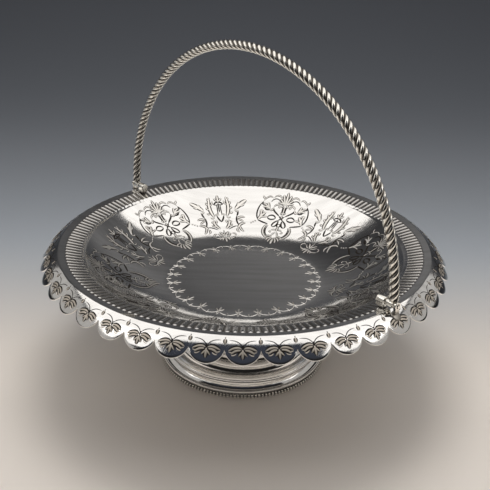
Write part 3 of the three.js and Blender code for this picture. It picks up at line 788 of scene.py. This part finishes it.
def wire_surface(f):
    """The beaded wire: a ring whose section swells into one round bead after another; and the shade painted
    on it.
    """
    columns = f.bead_count * BEAD_COLUMNS
    across = 2 * (np.arange(columns) % BEAD_COLUMNS) / BEAD_COLUMNS - 1
    bead = np.sqrt(np.clip(1 - BEAD_NOTCH * np.abs(across) ** BEAD_POWER, 0, 1))
    outer, _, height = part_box("foot_bead_wire")[1]
    half = f.wire / 2
    centre = outer - half
    rings = [
        ring(columns, centre + half * math.cos(turn) * bead, height / 2 + height / 2 * math.sin(turn) * bead)
        for turn in turns(BEAD_ROWS)
    ]
    tarnish_and_shade_values = np.interp(bead, BEAD_RANGE, BEAD_SHADES)
    return shell(rings, "loop"), np.tile(tarnish_and_shade_values, BEAD_ROWS)


# Handle

STATIONS_PER_LEAD = 32
SIDES_PER_LOBE = 12
# Depth below the strands' tops over which painted shade darkens the bar, in radii of a strand
STRAND_RANGE = (0.06, 0.36)


def bar_surface(h):
    """Twisted bar along the arch: the section, a union of round strands, turns once in each lead; and the
    shade painted on it, which is darkest in the grooves between the strands."""
    half_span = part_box("handle_knuckle_right")[1][0] - h.bar / 2
    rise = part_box("handle_bar")[1][2] - HINGE[2] - h.bar / 2
    first = math.asin(h.start / rise)
    t = np.linspace(first, math.pi - first, 20001)
    along = distances(np.stack([half_span * np.cos(t), rise * np.sin(t)], -1))
    stations = int(along[-1] / h.lead * STATIONS_PER_LEAD)
    s = np.linspace(0, along[-1], stations)
    t = np.interp(s, along, t)
    strand = h.strand / 2
    offset = h.bar / 2 - strand
    phi = turns(SIDES_PER_LOBE * h.lobes)
    near = (phi + math.pi / h.lobes) % (2 * math.pi / h.lobes) - math.pi / h.lobes
    section = offset * np.cos(near) + np.sqrt(np.clip(strand ** 2 - (offset * np.sin(near)) ** 2, 0, None))
    tarnish_and_shade_values = np.interp((h.bar / 2 - section) / strand, STRAND_RANGE, (0, 1))
    turn = phi[None] + (2 * math.pi * s / h.lead)[:, None]
    outwards = np.stack([rise * np.cos(t), half_span * np.sin(t)], -1)
    outwards /= np.linalg.norm(outwards, axis=1, keepdims=True)
    x = (half_span * np.cos(t))[:, None] + section * np.cos(turn) * outwards[:, :1]
    z = HINGE[2] + (rise * np.sin(t))[:, None] + section * np.cos(turn) * outwards[:, 1:]
    surface = shell(list(np.stack([x, section * np.sin(turn), z], -1)))
    return surface, np.concatenate([np.tile(tarnish_and_shade_values, stations), np.zeros(2)])


# Hinges

# Half widths of the legs at their waist and foot, as shares of the round part's diameter
BARREL_WAIST = 0.4
EAR_WAIST = 0.36
LEG_FOOT = 0.42
# How dark the shade painted on a leg gets at its foot, and the way down over which it does, in diameters of
# the round part
LEG_SHADE = 0.75
LEG_RANGE = (0.25, 0.75)
# The barrel's height over the flutes, in their depth, and how much rounder than the rest it is
BARREL_CLEAR = 0.6
BARREL_BEVEL = 1.5
# The ear's plate: its rows as share of its size and height over the flange, and its middle's height
PLATE_ROWS = ((1, -0.0001), (1, 0.0002), (0.94, 0.0004), (0.7, 0.0006), (0.25, 0.0007))
PLATE_RISE = 0.0006
PLATE_SHORTER = 0.0016
# How much nearer to the middle of the basket the bar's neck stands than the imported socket
NECK_INSET = 0.0007
# The neck's rows: share of its diameter, and height over the bore or over the bar's start
NECK_FOOT = ((0.47, 0.0001), (0.5, 0.0003))
NECK_TOP = ((0.5, 0), (0.4, 0.0006))
# The pin's ends, as distances from each of them and inset, and the depth of its clean face: the rest of the
# pin is painted dark, as shade in the bore round it
PIN_START = ((0.0015, 0.0002), (0.0017, 0))
PIN_END = (
    (0.0014, 0), (0.0012, 0.0002), (0.0003, 0.0002), (0.0001, 0.0003), (0.00003, 0.0005), (0, 0.0008),
)
PIN_FACE = 0.00015


def across_hinge(outline, stations):
    """Rings along X: the outline (y, z) drawn in toward its middle and moved to each (x, inset)."""
    middle = outline.mean(0)
    reach = np.linalg.norm(outline - middle, axis=1, keepdims=True)
    return [
        np.column_stack([np.full(len(outline), x), outline - (outline - middle) / reach * inset])
        for x, inset in stations
    ]


def rounded_ends(start, end, bevel):
    """Stations along X, each with its inset, that round the two edges by a quarter circle."""
    angles = np.radians([0, 30, 60, 90])
    first = [(start + bevel * (1 - math.sin(t)), bevel * (1 - math.cos(t))) for t in angles[::-1]]
    last = [(end - bevel * (1 - math.sin(t)), bevel * (1 - math.cos(t))) for t in angles]
    return first + last


def round_outline(radius, turn):
    """Points (y, z) round the hinge line at the given angles."""
    return np.stack([radius * np.cos(turn), HINGE[2] + radius * np.sin(turn)], -1)


def legged_outline(radius, bottom, waist, foot):
    """A circle's upper half on a leg that narrows to its waist and widens again to its foot."""
    t = np.linspace(0, 1, 13)[1:]
    ease = t * t * (3 - 2 * t)
    narrowing = radius + (foot - radius) * 0.5 - waist
    half = radius + (foot - radius) * ease - narrowing * np.sin(math.pi * t) ** 2
    z = HINGE[2] + (bottom - HINGE[2]) * t
    base = np.stack([np.linspace(-half[-1], half[-1], 9)[1:-1], np.full(7, bottom)], -1)
    cap = round_outline(radius, np.radians(np.arange(0, 181, 7.5)))
    return np.concatenate([cap, np.stack([-half, z], -1), base, np.stack([half, z], -1)[::-1]])


def bored(outline, start, end, bevel, bore):
    """A plate with a round hole: outline at both faces, joined through the hole's wall as one loop."""
    turn = np.unwrap(np.arctan2(outline[:, 1] - HINGE[2], outline[:, 0]))
    near, far = across_hinge(round_outline(bore / 2, turn), ((start, 0), (end, 0)))
    return shell([near, *across_hinge(outline, rounded_ends(start, end, bevel)), far], "loop")


def node_reach(name):
    """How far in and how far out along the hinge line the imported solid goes."""
    return sorted(abs(corner[0]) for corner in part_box(name))


def leg_painted_shade(surface, width):
    """How dark the metal is: clean round the pin, with shade painted down the leg."""
    down = (HINGE[2] - surface[0][:, 2]) / width
    return np.interp(down, LEG_RANGE, (0, LEG_SHADE))


def barrel_surface(h, d, start, end):
    """A round barrel on a leg that ends just over the flutes."""
    bottom = dish_levels(d).flute_top + BARREL_CLEAR * d.flute_depth + h.gap
    leg = legged_outline(h.barrel / 2, bottom, BARREL_WAIST * h.barrel, LEG_FOOT * h.barrel)
    return shell(across_hinge(leg, rounded_ends(start, end, BARREL_BEVEL * h.bevel)))


def knuckle_surface(h, bar, radius, start, neck_out):
    """A bored knuckle, and on it the neck out of which the bar comes."""
    tube = bored(round_outline(radius, turns(48)), start, start + h.knuckle, h.bevel, h.bore)
    centre = np.array([neck_out - bar.bar / 2 - NECK_INSET, 0, HINGE[2]])
    rows = [(width, h.bore / 2 + up) for width, up in NECK_FOOT]
    rows += [(width, bar.start + up) for width, up in NECK_TOP]
    return joined([tube, shell([ring(48, width * h.neck, z) + centre for width, z in rows])])


def ear_surface(h, d, start, plate_in, plate_out):
    """A bored ear on a leg, and its plate: an oval leaf that lies on the flange, thick in its middle and thin
    at its rim."""
    place, _ = chart(flange_profile(d))
    bottom = place(flange_distance(d, start))[1] + PLATE_RISE
    outline = legged_outline(h.ear / 2, bottom, EAR_WAIST * h.ear, LEG_FOOT * h.ear)
    upright = bored(outline, start, start + h.ear_thickness, h.bevel, h.bore)
    plate_out -= PLATE_SHORTER
    rings = []
    for scale, lift in PLATE_ROWS:
        along = (plate_in + plate_out) / 2 + scale * (plate_out - plate_in) / 2 * np.cos(turns(48))
        r, z, nr, nz = place(flange_distance(d, along))
        theta = scale * (h.plate_width / 2) * np.sin(turns(48)) / r
        rings.append(polar(r + lift * nr, theta, z + lift * nz))
    return joined([upright, shell(rings)])


def pin_surface(h, start, end):
    """The pin, hidden in the barrel at its inner end; its outer end is drawn in and rounded over."""
    stations = [(start + along, inset) for along, inset in PIN_START]
    stations += [(end - back, inset) for back, inset in PIN_END]
    return shell(across_hinge(round_outline(h.pin / 2, turns(32)), stations))


# Finishes

# Roughness that tarnish, painted shade and polishing lines add, and the lines' depth
TARNISH_AND_SHADE_ROUGHNESS = 0.35
LINE_ROUGHNESS = 0.06
LINE_DEPTH = 0.00002
# Direction of the brushed streaks across the sheet
STREAK_TURN = math.radians(-47)


def feed(tree, made, values):
    """Fills a node's named inputs, each with a value or from another node's socket."""
    for label, value in values.items():
        if isinstance(value, bpy.types.NodeSocket):
            tree.links.new(value, made.inputs[label])
        else:
            made.inputs[label].default_value = value
    return made


def node(tree, kind, values=None, **settings):
    """A shader node with its settings and inputs."""
    made = tree.nodes.new(f"ShaderNode{kind}")
    for key, value in settings.items():
        setattr(made, key, value)
    return feed(tree, made, values or {})


def maths(tree, operation, first, second, clamp=False):
    """A Math node between sockets or numbers."""
    return node(tree, "Math", {0: first, 1: second}, operation=operation, use_clamp=clamp).outputs[0]


def above(tree, value, level, gain):
    """How far the value rises above the level, times the gain, kept between 0 and 1."""
    return maths(tree, "MULTIPLY", maths(tree, "SUBTRACT", value, level), gain, clamp=True)


def smooth_range(tree, value, low, high):
    """Rises smoothly from 0 to 1 while the value goes from low to high."""
    ends = {"Value": value, "From Min": low, "From Max": high}
    return node(tree, "MapRange", ends, interpolation_type="SMOOTHSTEP").outputs["Result"]


def blend(tree, factor, first, second):
    """Goes from the first colour to the second with the factor."""
    first = first if isinstance(first, bpy.types.NodeSocket) else (*first, 1)
    ends = {"Factor": factor, "A": first, "B": (*second, 1)}
    return node(tree, "Mix", ends, data_type="RGBA").outputs["Result"]


def noise(tree, place, scale, detail):
    """Noise over the given place."""
    return node(tree, "TexNoise", {"Vector": place, "Scale": scale, "Detail": detail}).outputs["Fac"]


def drawn_out(tree, place, rotation, scale):
    """The place scaled along each axis and then turned."""
    return node(tree, "Mapping", {"Vector": place, "Rotation": rotation, "Scale": scale}).outputs["Vector"]


def new_group(name, inputs, outputs):
    """An empty shader node group. Inputs that name None are vectors, and the rest are numbers."""
    tree = bpy.data.node_groups.new(name, "ShaderNodeTree")
    for label, value in inputs.items():
        kind = "NodeSocketVector" if value is None else "NodeSocketFloat"
        socket = tree.interface.new_socket(label, in_out="INPUT", socket_type=kind)
        if value is not None:
            socket.default_value = value
    for label in outputs:
        tree.interface.new_socket(label, in_out="OUTPUT", socket_type="NodeSocketFloat")
    return tree, tree.nodes.new("NodeGroupInput").outputs, tree.nodes.new("NodeGroupOutput")


def polishing_lines(name):
    """Fine polishing lines: noise drawn out along two crossing directions, as a mask."""
    tree, start, end = new_group(name, {"Vector": None, "Scale": 260.0, "Amount": 1.0}, ["Mask"])
    total = 0.0
    for turn, stretch in ((0.5, 14.0), (-0.9, 18.0)):
        place = drawn_out(tree, start["Vector"], (0.2, 0.3 * turn, turn), (stretch, 1.0, 1.0))
        line = above(tree, noise(tree, place, start["Scale"], detail=3.0), level=0.52, gain=5.0)
        total = maths(tree, "ADD", total, line)
    feed(tree, end, {"Mask": maths(tree, "MULTIPLY", total, start["Amount"])})
    return tree


def worked_sheet(name):
    """Spun and hammered sheet: slow waves as a height, and faint brushed streaks across it as a mask."""
    tree, start, end = new_group(
        name, {"Vector": None, "Wave scale": 38.0, "Streak amount": 1.0}, ["Waves", "Streaks"],
    )
    turned = drawn_out(tree, start["Vector"], (0.0, 0.0, STREAK_TURN), (1.0, 1.0, 1.0))
    brushed = noise(tree, drawn_out(tree, turned, (0.0, 0.0, 0.0), (16.0, 230.0, 90.0)), 1.0, detail=5.0)
    streaks = above(tree, brushed, level=0.4, gain=4.0)
    feed(tree, end, {
        "Waves": noise(tree, start["Vector"], start["Wave scale"], detail=1.0),
        "Streaks": maths(tree, "MULTIPLY", streaks, start["Streak amount"]),
    })
    return tree


def tarnish_and_shade(name):
    """Where the metal darkens: tarnish and painted shade where the mesh marks it, and faint clouds of tarnish
    on the open metal.
    """
    tree, start, end = new_group(
        name, {"Vector": None, "Tarnish and shade mask": 0.0, "Groove amount": 1.0, "Cloud amount": 0.1, "Cloud scale": 30.0},
        ["Mask"],
    )
    cloud = above(tree, noise(tree, start["Vector"], start["Cloud scale"], detail=5.0), level=0.45, gain=4.0)
    groove = maths(tree, "MULTIPLY", start["Tarnish and shade mask"], start["Groove amount"])
    spread = maths(tree, "MULTIPLY", cloud, start["Cloud amount"])
    feed(tree, end, {"Mask": maths(tree, "MAXIMUM", groove, spread, clamp=True)})
    return tree


def effect(tree, name, build, values):
    """Outputs of the shared group of that name, which is built the first time, placed with its own values."""
    group = bpy.data.node_groups.get(name) or build(name)
    return feed(tree, node(tree, "Group", node_tree=group), values).outputs


def new_material(name):
    """A material with its node tree and its shader."""
    material = bpy.data.materials.new(name)
    material.use_nodes = True
    return material, material.node_tree, material.node_tree.nodes["Principled BSDF"]


def silver(name, clean, dark, roughness, groove, cloud, lines, bump, waves=0.0, streaks=0.0):
    """Silver: a clean colour that turns to tarnish and painted shade by mask, roughness with fine lines, and
    a slight bump.
    """
    existing = bpy.data.materials.get(name)
    if existing:
        return existing
    material, tree, shader = new_material(name)
    place = node(tree, "TexCoord").outputs["Object"]
    tarnish_and_shade_mask = node(tree, "Attribute", attribute_name="tarnish_and_shade_mask").outputs["Fac"]
    tarnish_and_shade_inputs = {"Vector": place, "Tarnish and shade mask": tarnish_and_shade_mask, "Groove amount": groove, "Cloud amount": cloud}
    mask = effect(tree, "Tarnish and shade", tarnish_and_shade, tarnish_and_shade_inputs)["Mask"]
    polishing = effect(tree, "Polishing lines", polishing_lines, {"Vector": place, "Amount": lines})["Mask"]
    sheet = effect(tree, "Worked sheet", worked_sheet, {"Vector": place, "Streak amount": streaks})
    spread = maths(tree, "MAXIMUM", mask, sheet["Streaks"], clamp=True)
    rough = maths(tree, "ADD", maths(tree, "MULTIPLY", mask, TARNISH_AND_SHADE_ROUGHNESS), roughness)
    rough = maths(tree, "ADD", rough, maths(tree, "MULTIPLY", polishing, LINE_ROUGHNESS), clamp=True)
    fine = node(tree, "Bump", {"Strength": bump, "Distance": LINE_DEPTH, "Height": polishing})
    swell = node(tree, "Bump", {
        "Strength": 1.0, "Distance": waves, "Height": sheet["Waves"], "Normal": fine.outputs["Normal"],
    })
    feed(tree, shader, {
        "Metallic": 1.0,
        "Base Color": blend(tree, spread, clean, dark),
        "Roughness": rough,
        "Normal": swell.outputs["Normal"],
    })
    return material


def polished_silver():
    """Polished plate of the dish and foot."""
    f = bpy.context.scene.basket_finishes
    return silver(
        "Polished silver plate", f.silver, f.tarnish_and_shade, f.polish,
        groove=0.85, cloud=0.05, lines=0.6, bump=0.25, waves=0.0003, streaks=0.13,
    )


def worn_silver():
    """Lightly worn plate of the handle, hinges and foot wire."""
    f = bpy.context.scene.basket_finishes
    return silver("Worn silver plate", f.worn, f.tarnish_and_shade, f.wear, groove=0.9, cloud=0.12, lines=1.0, bump=0.5)


def matted_silver():
    """Matted leaves with darkened outlines, on the flange."""
    f = bpy.context.scene.basket_finishes
    return silver("Matted silver", f.matted, f.cut, f.matt, groove=1.0, cloud=0.25, lines=1.0, bump=0.8)


def chased_silver():
    """Brighter engraved ornament with darkened outlines, in the bowl."""
    f = bpy.context.scene.basket_finishes
    return silver("Chased silver", f.chased, f.cut, f.chasing, groove=1.0, cloud=0.15, lines=1.0, bump=1.0)


# Studio

# Each lamp's name, the setting of its radiance, its size, and its centre and aim across, away and up; metres
LAMPS = (
    ("overhead_softbox", "lamp", (2.5, 1.12), (0.0, 0.18, 0.98), (0.0, 0.0, -1.0)),
    ("right_panel", "lamp", (0.9, 0.66), (1.1, -0.385, 0.99), (0.0, 0.0, -1.0)),
    ("right_card", "side_lamp", (2.3, 0.72), (1.4, 0.2, 0.66), (-1.0, 0.0, 0.0)),
    ("back_fill", "back_lamp", (1.6, 0.5), (0.0, 0.85, 0.75), (0.0, -0.75, -0.661)),
    ("top_fill", "top_lamp", (0.5, 0.5), (0.0, 0.3, 0.97), (0.0, 0.0, -1.0)),
)
# Panels and cards stand on the left side too
MIRRORED_LAMPS = tuple(
    (name.replace("right", "left"), radiance, size, (-centre[0], *centre[1:]), (-aim[0], *aim[1:]))
    for name, radiance, size, centre, aim in LAMPS if name.startswith("right")
)
LAMP_COLOUR = (1.0, 0.97, 0.93)
PANEL_TURN = math.radians(32)
# The sweep seen from the side, as distance behind the basket and height, and its whole width
SWEEP_FRONT = ((-3, 0), (-1, 0), (0, 0))
SWEEP_BEND = ((0.55, 0), (1.35, 0.8))
SWEEP_TOP = (1.35, 2)
SWEEP_WIDTH = 5
# Where the paper's tone starts to fade in front of the basket's middle, and how sharply it does: a painted
# falloff of the light
FADE_START = 0.05
FADE_POWER = 1.55
# Ranges over which the floor cools behind the basket, the paper lightens upward, and it dims to the left; the
# lightening and its dimming are painted light for the metal to mirror
COOLING = (-0.02, 0.2)
RISE = (0.1, 0.75)
DIM_SIDE = (0.25, -0.45)
DIM_SHARE = 0.45
# Range of the upward direction over which the room lightens, and the camera's target right of the middle
OVERHEAD = (0.4, 0.75)
TARGET_SHIFT = 0.0002


def posed(name, data, right, up, back, place):
    """A new lamp or camera at its place, turned by its own three directions."""
    made = added(name, data)
    made.matrix_world = Matrix.Translation(place) @ Matrix((right, up, back)).transposed().to_4x4()
    return made


# Operators


class BASKET_OT_dish(bpy.types.Operator):
    """Builds the dish: well, bowl, fluted band, crest and the flange cut into lappets"""
    bl_idname = "basket.dish"
    bl_label = "Dish"

    def execute(self, context):
        sheet, tarnish_and_shade_values = dish_surface(context.scene.basket_dish)
        piece("dish_sheet", sheet, "base", polished_silver(), ["dish"], tarnish_and_shade_values, smooth=40)
        return {"FINISHED"}


class BASKET_OT_engraving(bpy.types.Operator):
    """Engraves the flange, the bowl's wall and the edge of the well"""
    bl_idname = "basket.engraving"
    bl_label = "Engraving"

    def execute(self, context):
        d = context.scene.basket_dish
        sizes = context.scene.basket_engraving
        flange, _ = chart(flange_profile(d))
        notch = flange_distance(d, dish_levels(d).tip - d.lappet_reach)
        pitch = 2 * math.pi / d.lappet_count
        lappets, tarnish_and_shade_values = around(
            LAPPET, pitch * np.arange(d.lappet_count), sizes,
            lambda y: flange(np.maximum(y + notch, CREST_CLEAR)),
            lambda x, radius: x / (LAPPET_HALF * MM) * pitch / 2,
        )
        piece("flange_engraving", lappets, "base", matted_silver(), (), tarnish_and_shade_values, smooth=25)
        wall, _ = chart(bowl_profile(d), d.well_radius - WELL_CORE)
        bowl = [
            around(drawing, np.radians(angles), sizes, wall, lambda x, radius: x / radius)
            for drawing, angles in ((CARTOUCHE, CARTOUCHE_ANGLES), (SPRAY, SPRAY_ANGLES))
        ]
        ornament = joined([surface for surface, _ in bowl])
        tarnish_and_shade_values = np.concatenate([shade for _, shade in bowl])
        piece("bowl_engraving", ornament, "base", chased_silver(), (), tarnish_and_shade_values, smooth=25)
        pitch = 2 * math.pi / GARLAND_COUNT
        garland, tarnish_and_shade_values = around(
            GARLAND, pitch * (np.arange(GARLAND_COUNT) + GARLAND_START), sizes, wall,
            lambda x, radius: x / (GARLAND_HALF * MM) * pitch / 2,
        )
        piece("well_engraving", garland, "base", chased_silver(), (), tarnish_and_shade_values, smooth=25)
        return {"FINISHED"}


class BASKET_OT_foot(bpy.types.Operator):
    """Spins the foot and beads the wire round its base"""
    bl_idname = "basket.foot"
    bl_label = "Foot"

    def execute(self, context):
        sizes = context.scene.basket_foot
        foot, tarnish_and_shade_values = foot_surface(sizes)
        piece("foot_shell", foot, "base", polished_silver(), ["foot"], tarnish_and_shade_values, smooth=35)
        wire, tarnish_and_shade_values = wire_surface(sizes)
        piece("foot_beading", wire, "base", worn_silver(), ["foot_bead_wire"], tarnish_and_shade_values, smooth=80)
        return {"FINISHED"}


class BASKET_OT_handle(bpy.types.Operator):
    """Twists the handle's bar along its arch"""
    bl_idname = "basket.handle"
    bl_label = "Handle"

    def execute(self, context):
        bar, tarnish_and_shade_values = bar_surface(context.scene.basket_handle)
        piece("handle_twist", bar, "handle", worn_silver(), ["handle_bar"], tarnish_and_shade_values, smooth=50)
        return {"FINISHED"}


class BASKET_OT_hinges(bpy.types.Operator):
    """Builds both hinges: barrel, knuckle with the bar's neck, ear with its plate, and pin"""
    bl_idname = "basket.hinges"
    bl_label = "Hinges"

    def execute(self, context):
        h = context.scene.basket_hinges
        d = context.scene.basket_dish
        for name, side in (("right", 1.0), ("left", -1.0)):
            barrel_in, barrel_out = node_reach(f"hinge_barrel_{name}")
            knuckle_in, neck_out = node_reach(f"handle_knuckle_{name}")
            pin_out = node_reach(f"hinge_pin_{name}")[1]
            radius = HINGE[2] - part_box(f"handle_knuckle_{name}")[0][2]
            barrel = barrel_surface(h, d, barrel_in, barrel_out)
            knuckle = knuckle_surface(h, context.scene.basket_handle, radius, knuckle_in, neck_out)
            ear = ear_surface(h, d, knuckle_in + h.knuckle + h.gap, *node_reach(f"hinge_ear_{name}"))
            pin = pin_surface(h, barrel_in, pin_out)
            for part, solid, body, (vertices, triangles), tarnish_and_shade_values in (
                ("barrel", "hinge_barrel", "base", barrel, leg_painted_shade(barrel, h.barrel)),
                ("knuckle", "handle_knuckle", "handle", knuckle, None),
                ("ear", "hinge_ear", "base", ear, leg_painted_shade(ear, h.ear)),
                # The pin is painted dark behind its end face: shade in the bore round it
                ("pin", "hinge_pin", "base", pin, np.where(pin[0][:, 0] < pin_out - PIN_FACE, 1.0, 0.0)),
            ):
                placed = (vertices * np.array([side, side, 1.0]), triangles)
                nodes = [f"{solid}_{name}"]
                piece(f"{part}_{name}", placed, body, worn_silver(), nodes, tarnish_and_shade_values, smooth=60)
        return {"FINISHED"}


class BASKET_OT_stage(bpy.types.Operator):
    """Sets the floor, the backdrop, the light and the camera"""
    bl_idname = "basket.stage"
    bl_label = "Stage"

    def execute(self, context):
        s = context.scene.basket_studio
        away = np.array([-math.sin(s.azimuth), math.cos(s.azimuth)])
        across = np.array([math.cos(s.azimuth), math.sin(s.azimuth)])
        self.sweep(s, away, across)
        self.lamps(s, away, across)
        self.room(s)
        self.camera(s, away)
        return {"FINISHED"}

    def sweep(self, s, away, across):
        """Floor and backdrop in one sheet: flat in front, then a wide bend, then upright behind."""
        side = np.concatenate([SWEEP_FRONT, arc(*SWEEP_BEND, math.radians(90), 24), [SWEEP_TOP]])
        u, v = np.meshgrid(np.arange(len(side)), SWEEP_WIDTH * np.linspace(-0.5, 0.5, 9), indexing="ij")
        depth, z = side[u][..., 0], side[u][..., 1]
        points = np.stack([depth * away[0] + v * across[0], depth * away[1] + v * across[1], z], -1)
        rows, columns = u.shape
        k = (np.arange(rows - 1)[:, None] * columns + np.arange(columns - 1)).ravel()
        quads = np.stack([k, k + 1, k + columns + 1, k + columns], -1)
        mesh = bpy.data.meshes.new("studio_sweep")
        mesh.from_pydata(points.reshape(-1, 3).tolist(), [], quads.tolist())
        mesh.shade_smooth()
        mesh.materials.append(self.paper(s, away, across))
        added("studio_sweep", mesh)

    def paper(self, s, away, across):
        """Paper that cools and darkens with its distance behind the basket, a painted falloff of the light,
        and lightens above the camera's view, less so on the left, as painted light for the metal to mirror.
        It gives off a little light, and more where metal mirrors it in front."""
        material, tree, shader = new_material("Studio paper")
        place = node(tree, "TexCoord").outputs["Object"]
        behind, aside = (
            node(tree, "VectorMath", {0: place, 1: (*way, 0)}, operation="DOT_PRODUCT").outputs["Value"]
            for way in (away, across)
        )
        height = node(tree, "SeparateXYZ", {"Vector": place}).outputs["Z"]
        depth = maths(tree, "DIVIDE", maths(tree, "ADD", behind, FADE_START), s.fade)
        falling = maths(tree, "POWER", maths(tree, "MAXIMUM", depth, 0.0), FADE_POWER)
        fading = maths(tree, "SUBTRACT", 1.0, maths(tree, "DIVIDE", 1.0, maths(tree, "ADD", falling, 1.0)))
        near = maths(tree, "SUBTRACT", 1.0, fading)
        leftward = maths(tree, "MULTIPLY", smooth_range(tree, aside, *DIM_SIDE), DIM_SHARE)
        rising = smooth_range(tree, height, *RISE)
        rising = maths(tree, "MULTIPLY", rising, maths(tree, "SUBTRACT", 1.0, leftward))
        shade = s.floor
        for factor, tone in (
            (smooth_range(tree, behind, *COOLING), s.distant), (fading, s.backdrop), (rising, s.upper),
        ):
            shade = blend(tree, factor, shade, tone)
        mirrored = maths(tree, "MULTIPLY", node(tree, "LightPath").outputs["Is Glossy Ray"], near)
        mirrored = maths(tree, "MULTIPLY", mirrored, s.mirrored_glow)
        strength = maths(tree, "ADD", maths(tree, "MULTIPLY", rising, s.upper_glow), s.glow)
        feed(tree, shader, {
            "Roughness": 0.8,
            "Specular IOR Level": 0.1,
            "Base Color": shade,
            "Emission Color": shade,
            "Emission Strength": maths(tree, "ADD", strength, mirrored),
        })
        return material

    def lamps(self, s, away, across):
        """Places the lamps: metal doesn't mirror the fills, and only metal mirrors the cards."""
        for name, radiance, size, centre, aim in LAMPS + MIRRORED_LAMPS:
            lamp = bpy.data.lights.new(name, "AREA")
            lamp.shape = "RECTANGLE"
            lamp.size, lamp.size_y = size
            lamp.energy = getattr(s, radiance) * math.pi * size[0] * size[1]
            lamp.color = LAMP_COLOUR
            back = -Vector((*(aim[0] * across + aim[1] * away), aim[2]))
            along = Vector((*(across if aim[2] else away), 0.0))
            if name.endswith("panel"):
                along.rotate(Matrix.Rotation(math.copysign(PANEL_TURN, centre[0]), 3, "Z"))
            place = Vector((*(centre[0] * across + centre[1] * away), centre[2]))
            made = posed(name, lamp, along, back.cross(along), back, place)
            made.visible_glossy = not name.endswith("fill")
            made.visible_diffuse = not name.endswith("card")

    def room(self, s):
        """A dim room, lighter overhead, with a tone of its own where the camera looks past the backdrop."""
        world = bpy.context.scene.world or bpy.data.worlds.new("Studio room")
        bpy.context.scene.world = world
        world.use_nodes = True
        tree = world.node_tree
        direction = node(tree, "TexCoord").outputs["Generated"]
        height = node(tree, "SeparateXYZ", {"Vector": direction}).outputs["Z"]
        tone = blend(tree, smooth_range(tree, height, *OVERHEAD), s.room_low, s.room)
        seen = node(tree, "LightPath").outputs["Is Camera Ray"]
        feed(tree, tree.nodes["Background"], {"Color": blend(tree, seen, tone, s.room_seen)})

    def camera(self, s, away):
        """The camera looks at its target from the photograph's side, rolled a little."""
        look = Vector((*(away * math.cos(s.elevation)), -math.sin(s.elevation)))
        level = look.cross(Vector((0, 0, 1))).normalized()
        up = level.cross(look)
        right = level * math.cos(s.roll) + up * math.sin(s.roll)
        top = up * math.cos(s.roll) - level * math.sin(s.roll)
        target = Vector((0, 0, s.target_height)) + level * TARGET_SHIFT
        camera = bpy.data.cameras.new("camera")
        camera.lens = s.lens
        camera.sensor_width = 36
        camera.clip_start = 0.01
        bpy.context.scene.camera = posed("camera", camera, right, top, -look, target - look * s.distance)


class BASKET_PT_panel(bpy.types.Panel):
    """Lists the basket's steps and its sizes"""
    bl_idname = "BASKET_PT_panel"
    bl_label = "Swing-handle basket"
    bl_space_type = "VIEW_3D"
    bl_region_type = "UI"
    bl_category = "Basket"

    def draw(self, context):
        for operator in OPERATORS:
            self.layout.operator(operator.bl_idname)
        for name, group, label in GROUPS:
            box = self.layout.box()
            box.label(text=label)
            for key in group.__annotations__:
                box.prop(getattr(context.scene, name), key)


OPERATORS = (
    BASKET_OT_dish, BASKET_OT_engraving, BASKET_OT_foot, BASKET_OT_handle, BASKET_OT_hinges, BASKET_OT_stage,
)
GROUPS = (
    ("basket_dish", DishSizes, "Dish"),
    ("basket_foot", FootSizes, "Foot"),
    ("basket_handle", HandleSizes, "Handle"),
    ("basket_hinges", HingeSizes, "Hinges"),
    ("basket_engraving", EngravingSizes, "Engraving"),
    ("basket_finishes", Finishes, "Finishes"),
    ("basket_studio", StudioSettings, "Studio"),
)


def register():
    """Registers the classes and hangs the property groups on the scene."""
    for name, group, _ in GROUPS:
        bpy.utils.register_class(group)
        setattr(bpy.types.Scene, name, PointerProperty(type=group))
    for operator in OPERATORS:
        bpy.utils.register_class(operator)
    bpy.utils.register_class(BASKET_PT_panel)


def unregister():
    """Takes back what register did."""
    bpy.utils.unregister_class(BASKET_PT_panel)
    for operator in reversed(OPERATORS):
        bpy.utils.unregister_class(operator)
    for name, group, _ in reversed(GROUPS):
        delattr(bpy.types.Scene, name)
        bpy.utils.unregister_class(group)


def main():
    """Registers the add-on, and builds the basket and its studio."""
    register()
    bpy.context.scene.view_settings.view_transform = "Standard"
    bpy.ops.basket.dish()
    bpy.ops.basket.engraving()
    bpy.ops.basket.foot()
    bpy.ops.basket.handle()
    bpy.ops.basket.hinges()
    bpy.ops.basket.stage()


if __name__ == "__main__":
    main()
